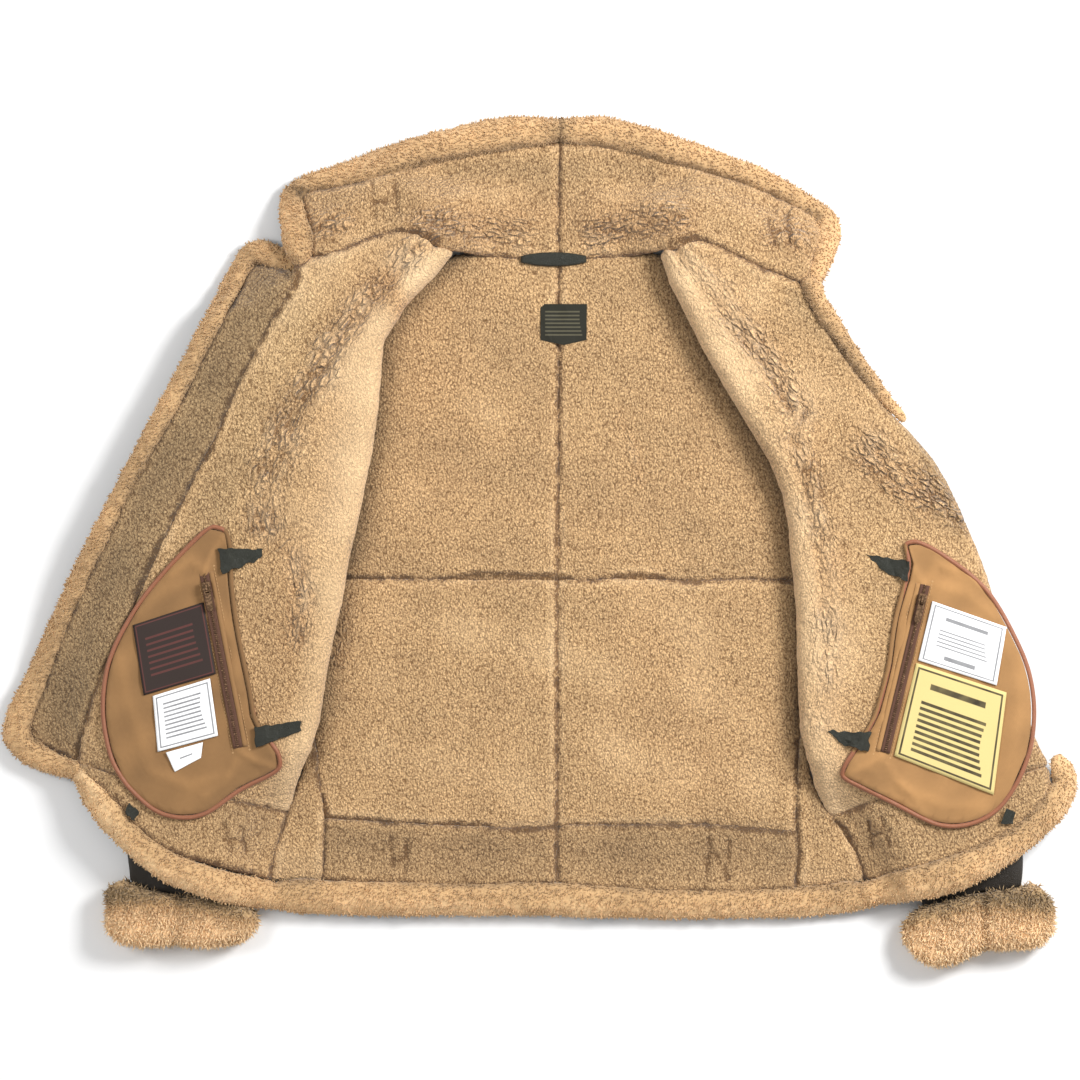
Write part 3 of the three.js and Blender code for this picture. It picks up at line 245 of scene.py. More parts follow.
# Broad swells of the skin under the wool, also painted darker in their hollows and lighter on their crests:
# nodes, line, half width, height
SWELLS = [
    (("front_left",), [
        (440, 243), (412, 260), (374, 302), (336, 347), (306, 394), (283, 436), (268, 470),
    ], 5, -3.4),
    (("front_left",), [(425, 264), (388, 310), (350, 356), (320, 404), (298, 446)], 9, 2.4),
    (("front_right",), [(672, 250), (700, 292), (734, 330), (766, 372), (790, 410)], 5, -3.0),
    (("front_right",), [(788, 440), (800, 482), (812, 528), (819, 580), (822, 632)], 5, -2.8),
    (("front_right",), [(690, 262), (722, 300), (756, 340)], 9, 1.4),
    (("front_right",), [(800, 300), (850, 352), (900, 405), (935, 460), (958, 520)], 22, -4.0),
    (("front_right",), [(762, 300), (815, 352), (865, 410), (900, 460)], 20, 3.0),
    (("front_right",), [(835, 480), (850, 560), (852, 640)], 26, 2.5),
    (("front_left",), [(330, 262), (290, 330), (262, 392)], 22, 3.0),
    (("front_left",), [(300, 470), (290, 540), (275, 600)], 24, 2.5),
    (("front_left",), [(238, 440), (205, 510), (180, 570)], 20, -2.5),
    (COLLAR_NODES, [(451, 196), (475, 192), (499, 196)], 16, 3.0),
    (COLLAR_NODES, [(601, 204), (640, 202), (673, 208)], 16, 3.0),
    (COLLAR_NODES, [(400, 205), (430, 215)], 14, -2.0),
    (("wind_flap",), [(245, 290), (170, 440), (80, 640)], 10, -2.0),
    (("cuff_",), [(983, 900), (983, 948)], 6, -5.0),
    (("cuff_",), [(178, 900), (176, 944)], 7, -3.0),
    (("hem_band_back",), [(345, 850), (540, 858)], 12, -1.5),
    (("hem_band_back",), [(575, 858), (780, 862)], 12, -1.5),
]

# Broad patches painted lighter or darker, most of them painted light and shade on slopes, humps and folds,
# and warmer or cooler:
# nodes, line, half width, lightness, warmth
SHADES = [
    (("front_left",), [(408, 280), (362, 356), (345, 440), (335, 520)], 24, 0.14, 0.4),
    (("front_left",), [(300, 330), (250, 450), (205, 540), (165, 640)], 42, -0.04, -0.35),
    (("front_left",), [(285, 560), (290, 640), (280, 720)], 22, -0.06, 0.1),
    (("front_left",), [(330, 262), (290, 315)], 20, 0.08, -0.1),
    (("front_right",), [(690, 285), (722, 335), (745, 380)], 22, 0.14, 0.3),
    (("front_right",), [(800, 300), (850, 350), (900, 405), (935, 460), (958, 520)], 20, -0.16, -0.3),
    (("front_right",), [(840, 470), (862, 530)], 34, -0.14, 0.0),
    (("front_right",), [(828, 560), (830, 680), (828, 790)], 18, 0.08, 0.3),
    (("wind_flap",), [(280, 300), (170, 500), (90, 700)], 60, 0.0, -0.35),
    (COLLAR_NODES, [(430, 222), (560, 212), (680, 225)], 18, -0.04, 0.2),
    (COLLAR_NODES, [(450, 168), (540, 168), (650, 172)], 14, -0.16, -0.1),
    (("front_left",), [(320, 420), (345, 470), (350, 510)], 22, 0.04, 0.1),
    (("front_left",), [(385, 290), (408, 315), (412, 335)], 16, -0.34, 0.2),
    (("back_",), [(420, 330), (430, 480)], 50, 0.03, 0.2),
    (("back_",), [(650, 620), (700, 760)], 60, 0.02, 0.15),
    # Along the cuffs' tops the wool is made darker and cooler
    (("cuff_",), [(105, 893), (170, 890), (250, 905)], 17, -1.1, -0.5),
    (("cuff_",), [(905, 912), (975, 892), (1050, 900)], 17, -1.1, -0.5),
    (("hem_roll_left",), [(80, 765), (130, 850), (200, 895)], 9, 0.2, -0.15),
]

# The fronts' folded edges beside the back, where the wool is smooth, with a painted highlight along them and
# a painted shadow on the back beside them
FOLDS = {
    "front_left": [
        (453, 256), (440, 270), (420, 292), (394, 316), (382, 346), (378, 400), (367, 475), (353, 540),
        (344, 588), (334, 643), (322, 700), (307, 757), (290, 804),
    ],
    "front_right": [
        (662, 268), (680, 304), (700, 345), (740, 415), (771, 462), (785, 520), (795, 573), (797, 650),
        (797, 700), (804, 757), (825, 812),
    ],
}

# How light each panel's wool is, against the back's: partly the lie of its nap, partly painted light and
# shade, as on the wind flap, painted darker as if turned from the light, and on the lower back, painted
# lighter
PANEL_TONES_AND_LIGHT = [
    ("back_lower", 1.05),
    ("back_", 0.99),
    ("gusset", 1.09),
    ("hem_band", 0.8),
    ("front_hem", 0.9),
    ("front_", 1.03),
    ("wind_flap", 0.62),
    ("collar_roll", 1.08),
    ("collar_", 1.0),
    ("flap_roll", 1.08),
    ("hem_roll", 1.12),
    ("cuff", 1.62),
]

# Zips by their two ends, from the slider's end down
ZIPS = {"left": [(205, 573), (239, 747)], "right": [(923, 585), (883, 752)]}
TAPE_RISE = 0.0008  # how far the tape stands over the twill
TOOTH_RISE = 0.0014  # how far the teeth stand over the tape's underside
WELT_AWAY = 7.2  # how far the welt lies from the zip, on its inner side
STITCHED_BOX = (-6.2, 10.8)  # how far the stitched box's sides lie from the zip
# Labels: corners inner top, outer top, outer foot, inner foot
LABELS = {
    "label_brown": [(204.5, 602), (134, 625), (145, 695), (217, 673.5)],
    "label_white_left": [(211, 678), (154, 695.5), (159, 751), (219, 735)],
    "label_small": [(204, 741.5), (167, 751.8), (176, 771), (202, 757)],
    "label_white_right": [(930, 601), (1004, 627), (994, 685), (916, 660)],
    "label_yellow": [(914, 662.5), (1004, 692), (991, 794), (892, 755)],
}
NECK_LABEL = [(540, 304), (586.5, 304), (586, 340), (563, 345), (540, 340)]
TABS = ("tab_left_upper", "tab_left_lower", "tab_right_upper", "tab_right_lower")
PATCHES = ("patch_left", "patch_right")
PATCH_LIFT = 0.0045  # the wool that a patch lies on stands out by as much
LOOKS_DOWN = -0.4  # faces of the wool walls that look down more than this are hide
FILM, AIM = 36, 0.02  # the camera's film width, and the height that it is set for


# Plain mesh and field work


def start(name, mesh):
    """A new object of that mesh at the origin."""
    piece = bpy.data.objects.new(name, mesh)
    bpy.context.scene.collection.objects.link(piece)
    return piece


def merged(node):
    """A copy of a CAD node's mesh with its loose triangles joined."""
    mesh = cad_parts[node].data.copy()
    form = bmesh.new()
    form.from_mesh(mesh)
    bmesh.ops.remove_doubles(form, verts=form.verts, dist=WELD)
    form.to_mesh(mesh)
    form.free()
    mesh.materials.clear()
    return mesh


def shaped(name, form, *finishes):
    """A new mesh from a form, in those finishes."""
    mesh = bpy.data.meshes.new(name)
    form.to_mesh(mesh)
    form.free()
    for finish in finishes:
        mesh.materials.append(finish)
    return mesh


def settle(piece):
    """Turns a piece with its modifiers into a plain mesh."""
    graph = bpy.context.evaluated_depsgraph_get()
    mesh = bpy.data.meshes.new_from_object(piece.evaluated_get(graph), depsgraph=graph)
    piece.modifiers.clear()
    piece.data = mesh
    return piece


def grow(piece, tree, **sizes):
    """Runs a Geometry Nodes tree on a piece, with its named inputs, and keeps the plain mesh."""
    modifier = piece.modifiers.new(tree.name, "NODES")
    modifier.node_group = tree
    for item in tree.interface.items_tree:
        if item.item_type == "SOCKET" and item.in_out == "INPUT" and item.name in sizes:
            modifier[item.identifier] = sizes[item.name]
    return settle(piece)


def vectors_of(items, what):
    """One vector of each point or face, as rows of x, y and z."""
    flat = np.zeros(len(items) * 3)
    items.foreach_get(what, flat)
    return flat.reshape(-1, 3)


def points_of(mesh):
    """The mesh's points as rows of x, y and z."""
    return vectors_of(mesh.vertices, "co")


def put_points(mesh, points):
    """Writes the points back."""
    mesh.vertices.foreach_set("co", points.ravel())
    mesh.update()


def keep_field(mesh, name, values):
    """Keeps a value for each point under that name, for trees and materials to read."""
    field = mesh.attributes.get(name) or mesh.attributes.new(name, "FLOAT", "POINT")
    field.data.foreach_set("value", values.astype(np.float32))


def field_of(mesh, name):
    """The values kept for the points under that name."""
    values = np.zeros(len(mesh.vertices))
    mesh.attributes[name].data.foreach_get("value", values)
    return values


def second_finish(mesh, finish, where):
    """Gives the faces that are marked a second finish."""
    mesh.materials.append(finish)
    mesh.polygons.foreach_set("material_index", where.astype(np.int32))


def beside(points, line):
    """Each point's plan distance from a line of plan places, its way along it, and its side."""
    corners = np.array([spot(*place) for place in line])
    least = np.full(len(points), np.inf)
    way, across, gone = np.zeros(len(points)), np.zeros(len(points)), 0.0
    for a, b in zip(corners[:-1], corners[1:]):
        along = b - a
        long = math.hypot(*along)
        rest = points[:, :2] - a
        share = np.clip((rest @ along) / long**2, 0, 1)
        away = rest - share[:, None] * along
        far = np.hypot(away[:, 0], away[:, 1])
        nearer = far < least
        least[nearer] = far[nearer]
        way[nearer] = gone + (rest @ along)[nearer] / long
        across[nearer] = (rest @ np.array([along[1], -along[0]]))[nearer] / long
        gone += long
    return least, way, across


def distance(points, line):
    """Plan distance from each point to a line given in plan places."""
    return beside(points, line)[0]


def bell(away, wide):
    """1 at no distance, fading smoothly to a third at that width."""
    return np.exp(-((away / wide) ** 2))


def near(points, line, wide):
    """How near each point is to a plan line, by a half width in millimetres."""
    return bell(distance(points, line), wide * MM)


def waver(points, size, seed):
    """A smooth random field between about -1 and 1, with waves of about that size."""
    draw = np.random.default_rng(seed)
    total = np.zeros(len(points))
    waves = 7
    for _ in range(waves):
        angle, phase = draw.uniform(0, 2 * math.pi, 2)
        pace = 2 * math.pi / (size * draw.uniform(0.7, 1.6))
        total += np.sin(pace * (points[:, 0] * math.cos(angle) + points[:, 1] * math.sin(angle)) + phase)
    return total / math.sqrt(waves)


def runs_on(node, names):
    """Whether a node is one of those named by their first letters."""
    return any(node.startswith(name) for name in names)


def rows_for(node, table):
    """The rows of a table that are for that node, without the names of the nodes."""
    return [row[1:] for row in table if runs_on(node, row[0])]


def top_of(*nodes):
    """A function for the height of the highest of those CAD nodes at a place."""
    trees = []
    for node in nodes:
        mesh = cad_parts[node].data
        faces = [list(face.vertices) for face in mesh.polygons]
        trees.append(BVHTree.FromPolygons([v.co for v in mesh.vertices], faces))
    high, down = 1.0, Vector((0, 0, -1))

    def height(x, y, otherwise=None):
        hits = [tree.ray_cast(Vector((x, y, high)), down)[0] for tree in trees]
        found = [hit.z for hit in hits if hit is not None]
        return max(found) if found else otherwise

    return height


# Sockets and trees


class Wire:
    """A socket whose arithmetic adds Math nodes to its tree."""

    def __init__(self, tree, socket):
        self.tree = tree
        self.socket = socket

    def math(self, operation, *values):
        return node(self.tree, "ShaderNodeMath", {"operation": operation}, dict(enumerate(values)))

    def __add__(self, other):
        return self.math("ADD", self, other)

    def __radd__(self, other):
        return self.math("ADD", other, self)

    def __sub__(self, other):
        return self.math("SUBTRACT", self, other)

    def __rsub__(self, other):
        return self.math("SUBTRACT", other, self)

    def __mul__(self, other):
        return self.math("MULTIPLY", self, other)

    def __rmul__(self, other):
        return self.math("MULTIPLY", other, self)

    def __rtruediv__(self, other):
        return self.math("DIVIDE", other, self)

    def __abs__(self):
        return self.math("ABSOLUTE", self)

    def most(self, other):
        return self.math("MAXIMUM", self, other)

    def least(self, other):
        return self.math("MINIMUM", self, other)

    def held(self):
        """The value kept between 0 and 1."""
        return self.most(0.0).least(1.0)

    def step(self, low, high):
        """A smooth step from 0 at low to 1 at high."""
        settings = {"interpolation_type": "SMOOTHSTEP"}
        values = {"Value": self, "From Min": low, "From Max": high}
        return node(self.tree, "ShaderNodeMapRange", settings, values)

    def within(self, low, high, soft):
        """1 between low and high, with soft ends."""
        return self.step(low - soft, low + soft) * (1 - self.step(high - soft, high + soft))


def node(tree, kind, settings=None, values=None, out=0):
    """Adds a node with its settings, then its sockets' values or links, and returns an output."""
    added = tree.nodes.new(kind)
    for key, value in (settings or {}).items():
        setattr(added, key, value)
    for key, value in (values or {}).items():
        if isinstance(value, Wire):
            tree.links.new(value.socket, added.inputs[key])
        else:
            added.inputs[key].default_value = value
    return Wire(tree, added.outputs[out])


def vector(tree, operation, first, second):
    """A Vector Math node."""
    key = "Scale" if operation == "SCALE" else 1
    out = "Value" if operation == "DOT_PRODUCT" else 0
    return node(tree, "ShaderNodeVectorMath", {"operation": operation}, {0: first, key: second}, out)


def together(tree, *parts):
    """Numbers joined into one vector."""
    return node(tree, "ShaderNodeCombineXYZ", None, dict(enumerate(parts)))


class Finish:
    """A material in the making, with the patterns that its nodes are made of."""

    def __init__(self, name, roughness, **fixed):
        self.material = bpy.data.materials.new(name)
        self.material.use_nodes = True
        self.tree = self.material.node_tree
        self.tree.nodes.clear()
        self.shader = self.tree.nodes.new("ShaderNodeBsdfPrincipled")
        output = self.tree.nodes.new("ShaderNodeOutputMaterial")
        self.tree.links.new(self.shader.outputs[0], output.inputs[0])
        self.shader.inputs["Roughness"].default_value = roughness
        for key, value in fixed.items():
            self.shader.inputs[key.replace("_", " ")].default_value = value
        self.place = self.node("ShaderNodeTexCoord", out="Object")

    def node(self, kind, settings=None, values=None, out=0):
        return node(self.tree, kind, settings, values, out)

    def noise(self, size, detail=2.0, place=None, out=0):
        """Noise whose patches are about that size in metres, from 0 to 1."""
        values = {"Vector": place or self.place, "Scale": 1 / size, "Detail": detail}
        return self.node("ShaderNodeTexNoise", None, values, out)

    def cells(self, size, feature="F1", place=None):
        """Round cells of about that size in metres: how far off their middle or their edge is."""
        values = {"Vector": place or self.place, "Scale": 1 / size}
        return self.node("ShaderNodeTexVoronoi", {"feature": feature}, values)

    def waves(self, size, axis, warp=0.0, place=None):
        """Straight ribs across an axis, a size in metres apart."""
        values = {"Vector": place or self.place, "Scale": math.pi / 10 / size, "Distortion": warp}
        return self.node("ShaderNodeTexWave", {"bands_direction": axis}, values, "Fac")

    def warped(self, size, reach, place=None):
        """Places pushed about by noise of that size, by up to that reach."""
        push = vector(self.tree, "SUBTRACT", self.noise(size, 1.0, place, "Color"), (0.5, 0.5, 0.5))
        push = vector(self.tree, "SCALE", push, 2 * reach)
        return vector(self.tree, "ADD", place or self.place, push)

    def mapped(self, **values):
        """Places turned or stretched."""
        return self.node("ShaderNodeMapping", None, {"Vector": self.place, **values})

    def field(self, name):
        """A value kept on the mesh's points."""
        return self.node("ShaderNodeAttribute", {"attribute_name": name}, None, "Fac")

    def own_map(self):
        """The piece's own flat map, as its two numbers."""
        flat = self.node("ShaderNodeUVMap", {"uv_map": "UVMap"})
        return [self.node("ShaderNodeSeparateXYZ", None, {0: flat}, part) for part in (0, 1)]

    def mix(self, factor, first, second, blend="MIX"):
        """Two colours mixed."""
        settings = {"data_type": "RGBA", "blend_type": blend}
        return self.node("ShaderNodeMix", settings, {0: factor, 6: first, 7: second}, 2)

    def lit(self, colour, light):
        """A colour made lighter or darker over the surface."""
        return vector(self.tree, "MULTIPLY", colour, together(self.tree, light, light, light))

    def feed(self, socket, wire):
        self.tree.links.new(wire.socket, self.shader.inputs[socket])

    def bump(self, height, depth, strength=1.0):
        """Relief of a height from 0 to 1, by that depth in metres."""
        values = {"Height": height, "Distance": depth, "Strength": strength}
        self.feed("Normal", self.node("ShaderNodeBump", None, values))


def full(colour):
    return (*colour[:3], 1.0)


def shade(colour, factor):
    """A colour made lighter or darker."""
    return tuple(min(1.0, part * factor) for part in colour[:3]) + (1.0,)


def wool_finish(settings):
    """Clipped curly sheepskin wool: fine curls, plaited ridges and cracks in the creases, dark roots."""
    wool = Finish("shearling wool", 0.95, Sheen_Weight=0.2, Sheen_Roughness=0.7, Specular_IOR_Level=0.1)
    crease, parting, tone_and_light, plain = (wool.field(name) for name in ("crease", "parting", "tone_and_light", "plain"))
    lean = wool.mapped(Scale=(1.15, 0.85, 1.0))
    curled = wool.warped(0.005, 0.0017, lean)
    curls = 1 - 1.35 * wool.cells(settings.curl, "F1", curled)
    split = wool.warped(0.004, 0.0016, lean)
    splits = wool.cells(settings.curl * 1.5, "DISTANCE_TO_EDGE", split).step(0.0, 0.3)
    fine = wool.noise(0.0012, 3.0, curled)

    plaited = wool.warped(0.006, 0.0024, together(wool.tree, wool.field("way") * 0.5, wool.field("across")))
    cobbles = wool.cells(settings.clump * 0.72, "DISTANCE_TO_EDGE", plaited)
    deep = ((crease - 0.08) * 1.3).held()
    cracked = (1 - cobbles.step(0.0, 0.13)) * wool.noise(0.012, 2.0).step(0.34, 0.56) * deep

    tone = 0.55 * curls + 0.25 * splits + 1.55 * fine - 0.66 - 0.42 * cracked - 0.7 * parting
    tone = tone + 0.24 * deep * cobbles.step(0.1, 0.4)
    tone = (tone + plain * (0.7 - tone) * 0.74).held()
    colour = wool.mix(tone, full(settings.wool_root), full(settings.wool_tip))
    cool = (0.25 + 0.5 * wool.noise(0.22, 2.0) - wool.field("warmth")).held()
    tint = wool.mix(cool, full(settings.wool_warm), full(settings.wool_cool))
    colour = wool.mix(0.8, colour, tint, "MULTIPLY")
    # Where the kept tone and painted light run high, as on the rolls and cuffs, the wool turns cream
    colour = wool.mix(((tone_and_light - 1.05) * 1.3).held(), colour, full(settings.wool_cream))
    # The kept tone with its painted light and shade, some random tone, and lighter lock tips
    light = tone_and_light.least(1.12) * (0.92 + 0.28 * wool.noise(0.04, 4.0)) * (1 + wool.field("tip"))
    wool.feed("Base Color", wool.lit(colour, light))

    relief = 0.3 * curls + 0.2 * splits + 0.35 * fine - 0.4 * parting + 2.4 * deep * cobbles.step(0.0, 0.36)
    wool.bump(relief * (1 - 0.6 * plain), settings.curl_depth)
    return wool.material


def leather_finish(name, colour, size):
    """Dark hide with pores, fine grain and paler rubbed ridges."""
    hide = Finish(name, 0.55, Specular_IOR_Level=0.45)
    grain = hide.cells(size, "DISTANCE_TO_EDGE", hide.warped(size * 4, size * 0.8))
    folds = hide.noise(0.03, 4.0)
    wear = hide.noise(0.012, 3.0)
    rubbed = (folds.step(0.52, 0.75) * wear.step(0.4, 0.8)).held()
    skin = hide.mix(hide.noise(0.05), shade(colour, 0.72), shade(colour, 1.2))
    hide.feed("Base Color", hide.mix(rubbed * 0.5, skin, shade(colour, 2.4)))
    hide.feed("Roughness", 0.42 + 0.3 * folds)
    hide.bump(grain.step(0.0, 0.25) * 0.5 + 0.5 * folds, 0.0012, 0.6)
    return hide.material


def cotton_finish(settings):
    """Tan cotton twill: slanting ribs, slubs, and soft soiling."""
    cloth = Finish("tan twill", 0.85, Sheen_Weight=0.15)
    ribs = cloth.waves(0.0011, "X", 0.6, cloth.mapped(Rotation=(0, 0, 0.9)))
    slubs = cloth.noise(0.004, 3.0)
    soil = cloth.noise(0.05, 3.0)
    tone = (0.3 + 0.3 * ribs + 0.25 * slubs + 0.5 * soil - 0.27).held()
    colour = cloth.mix(tone, shade(settings.cotton, 0.72), shade(settings.cotton, 1.22))
    # Painted light and shade kept on the points
    cloth.feed("Base Color", cloth.lit(colour, cloth.field("tone_and_light")))
    cloth.bump(ribs * 0.6 + slubs * 0.4, 0.0004, 0.7)
    return cloth.material


def thread_finish(name, colour, roughness=0.75):
    """Twisted thread, bound edge or cord."""
    thread = Finish(name, roughness, Sheen_Weight=0.2)
    twist = thread.noise(0.0012, 3.0)
    spread = thread.noise(0.02, 2.0)
    tone = (0.2 + 0.5 * twist + 0.3 * spread).held()
    thread.feed("Base Color", thread.mix(tone, shade(colour, 0.65), shade(colour, 1.35)))
    thread.bump(twist, 0.0006, 0.8)
    return thread.material


def tape_finish(settings):
    """Woven zip tape with a herringbone of ribs."""
    tape = Finish("zip tape", 0.85)
    ribs = tape.waves(0.0009, "X", 0.4)
    cross = tape.waves(0.0012, "Y", 0.4)
    tone = (0.5 * ribs + 0.3 * cross + 0.2 * tape.noise(0.01)).held()
    tape.feed("Base Color", tape.mix(tone, shade(settings.tape, 0.6), shade(settings.tape, 1.25)))
    tape.bump(ribs + cross, 0.0003, 0.6)
    return tape.material


def brass_finish(settings):
    """Aged brass with brighter rubbed patches."""
    brass = Finish("aged brass", 0.38, Metallic=0.9)
    dull = brass.noise(0.002, 4.0)
    rubbed = dull.step(0.45, 0.65)
    colour = brass.mix(rubbed, shade(settings.brass, 0.45), shade(settings.brass, 1.25))
    brass.feed("Base Color", colour)
    brass.feed("Roughness", 0.3 + 0.35 * (1 - rubbed))
    brass.bump(dull, 0.0002, 0.5)
    return brass.material


def print_finish(name, cloth, ink, rows, border, relief=0.6):
    """Label cloth with bare ruled lines and a border.

    Each block of lines is given by its foot, top, count, left, right and weight, and the border by its
    inset and width, all as shares of the label.
    """
    label = Finish(name, 0.7, Specular_IOR_Level=0.3)
    across, up = label.own_map()
    weave = label.noise(0.0015, 3.0)
    wear = label.noise(0.014, 3.0)
    marks = []
    for low, high, count, left, right, weight in rows:
        turn = (up - low) * (count / (high - low))
        stroke = 1 - abs(turn.math("FRACT", turn) - 0.5).step(weight * 0.5, weight * 0.5 + 0.1)
        ragged = turn.math("SINE", turn.math("FLOOR", turn) * 12.9) * 0.06
        inside = across.step(left - 0.004, left + 0.004) * (1 - (across + ragged).step(right - 0.004, right))
        marks.append((stroke * inside * up.within(low, high, 0.002)).held())
    for inset, wide in border:
        out = abs(across - 0.5).most(abs(up - 0.5))
        ring = out.step(0.5 - inset - wide - 0.006, 0.5 - inset - wide)
        marks.append(ring * (1 - out.step(0.5 - inset, 0.506 - inset)))
    lines = functools.reduce(Wire.most, marks)
    base = label.mix((0.35 + 0.5 * weave + 0.3 * (wear - 0.5)).held(), shade(cloth, 0.94), shade(cloth, 1.06))
    label.feed("Base Color", label.mix((lines * (0.72 + 0.4 * wear)).held(), base, full(ink)))
    label.bump(weave + 0.4 * wear, 0.0002, relief)
    return label.material


def floor_finish(settings):
    """Pale painted board under the coat."""
    board = Finish("pale floor", 0.9, Specular_IOR_Level=0.1)
    tone = board.noise(0.7, 3.0)
    board.feed("Base Color", board.mix(tone, shade(settings.floor, 0.985), shade(settings.floor, 1.0)))
    return board.material


# Geometry Nodes trees


def new_tree(name, sizes):
    """A tree with a geometry input and output and named sizes, as wires by name."""
    tree = bpy.data.node_groups.new(name, "GeometryNodeTree")
    tree.interface.new_socket("Geometry", in_out="INPUT", socket_type="NodeSocketGeometry")
    tree.interface.new_socket("Geometry", in_out="OUTPUT", socket_type="NodeSocketGeometry")
    kinds = {float: "NodeSocketFloat", int: "NodeSocketInt", str: "NodeSocketMaterial"}
    kinds[object] = "NodeSocketObject"
    for size, kind in sizes.items():
        tree.interface.new_socket(size, in_out="INPUT", socket_type=kinds[kind])
    source = tree.nodes.new("NodeGroupInput")
    return tree, {socket.name: Wire(tree, socket) for socket in source.outputs if socket.name}


def end_tree(tree, geometry, material):
    """Ends a tree with real geometry in one material."""
    real = node(tree, "GeometryNodeRealizeInstances", None, {0: geometry})
    done = node(tree, "GeometryNodeSetMaterial", None, {0: real, "Material": material})
    output = tree.nodes.new("NodeGroupOutput")
    tree.links.new(done.socket, output.inputs[0])


def kept(tree, name):
    """A value kept on the points."""
    return node(tree, "GeometryNodeInputNamedAttribute", {"data_type": "FLOAT"}, {"Name": name})


def random_number(tree, low, high, seed):
    """A number drawn for each point."""
    return node(tree, "FunctionNodeRandomValue", {"data_type": "FLOAT"}, {2: low, 3: high, "Seed": seed}, 1)


def pile_tree():
    """Raises the wool side in swells and clumps, deeper in the creases, and parts it at seams."""
    sizes = ["Swell size", "Swell height", "Clump size", "Clump height", "Groove", "Fullness", "Seed"]
    tree, wires = new_tree("Shearling pile", {**dict.fromkeys(sizes, float), "Wool": str})
    normal = node(tree, "GeometryNodeInputNormal")
    upward = vector(tree, "DOT_PRODUCT", normal, (0, 0, 1))
    offset = together(tree, wires["Seed"], wires["Seed"])
    place = vector(tree, "ADD", node(tree, "GeometryNodeInputPosition"), offset)
    cells = {"Vector": place, "Scale": 1.0 / wires["Clump size"]}
    waves = {"Vector": place, "Scale": 1.0 / wires["Swell size"], "Detail": 2.0}
    clumps = 0.45 - node(tree, "ShaderNodeTexVoronoi", {"feature": "SMOOTH_F1"}, cells)
    swells = node(tree, "ShaderNodeTexNoise", None, waves) - 0.5
    groove = kept(tree, "parting") * upward.step(0.2, 0.8) * wires["Groove"]
    height = swells * wires["Swell height"] * 2.0 + kept(tree, "swell") + kept(tree, "reach") - groove
    height = height + clumps * wires["Clump height"] * (1 + 0.8 * kept(tree, "crease")) + wires["Fullness"]
    push = vector(tree, "SCALE", normal, height * upward.step(-0.25, 0.2))
    moved = node(tree, "GeometryNodeSetPosition", None, {0: wires["Geometry"], "Offset": push})
    end_tree(tree, moved, wires["Wool"])
    return tree


def lock_tree():
    """Stands small bent locks of wool on a skin, combed one way and leaning at random."""
    sizes = {"Lock": object, "Density": float, "Lean": float, "Comb across": float, "Comb up": float,
             "Seed": int, "Wool": str}
    tree, wires = new_tree("Wool locks", sizes)
    scatter = tree.nodes.new("GeometryNodeDistributePointsOnFaces")
    density = kept(tree, "locks") * wires["Density"]
    for socket, wire in (("Mesh", wires["Geometry"]), ("Density", density), ("Seed", wires["Seed"])):
        tree.links.new(wire.socket, scatter.inputs[socket])
    spread = node(tree, "FunctionNodeRandomValue", {"data_type": "FLOAT_VECTOR"},
                  {0: (-1, -1, -0.3), 1: (1, 1, 1), "Seed": 3})
    leaning = vector(tree, "SCALE", spread, wires["Lean"])
    combed = vector(tree, "ADD", together(tree, wires["Comb across"], wires["Comb up"]), leaning)
    way = vector(tree, "ADD", Wire(tree, scatter.outputs["Normal"]), combed)
    turned = node(tree, "FunctionNodeAlignRotationToVector", {"axis": "Z"}, {"Vector": way})
    roll = random_number(tree, 0.0, 2 * math.pi, 5)
    spin = node(tree, "FunctionNodeAxisAngleToRotation", None, {"Axis": (0, 0, 1), "Angle": roll})
    turned = node(tree, "FunctionNodeRotateRotation", {"rotation_space": "LOCAL"}, {0: turned, 1: spin})
    shape = node(tree, "GeometryNodeObjectInfo", None, {"Object": wires["Lock"]}, "Geometry")
    placed = node(tree, "GeometryNodeInstanceOnPoints", None, {
        "Points": Wire(tree, scatter.outputs["Points"]), "Instance": shape,
        "Rotation": turned, "Scale": random_number(tree, 0.65, 1.3, 7)})
    end_tree(tree, placed, wires["Wool"])
    return tree


def row_tree():
    """Sets copies of a shape along a line, at even steps, turned along it."""
    sizes = {"Shape": object, "Step": float, "Finish": str}
    tree, wires = new_tree("Even row", sizes)
    curve = node(tree, "GeometryNodeMeshToCurve", None, {0: wires["Geometry"]})
    points = tree.nodes.new("GeometryNodeCurveToPoints")
    points.mode = "LENGTH"
    tree.links.new(curve.socket, points.inputs["Curve"])
    tree.links.new(wires["Step"].socket, points.inputs["Length"])
    shape = node(tree, "GeometryNodeObjectInfo", None, {"Object": wires["Shape"]}, "Geometry")
    placed = node(tree, "GeometryNodeInstanceOnPoints", None, {
        "Points": Wire(tree, points.outputs["Points"]), "Instance": shape,
        "Rotation": Wire(tree, points.outputs["Rotation"])})
    end_tree(tree, placed, wires["Finish"])
    return tree


SHELF = {}


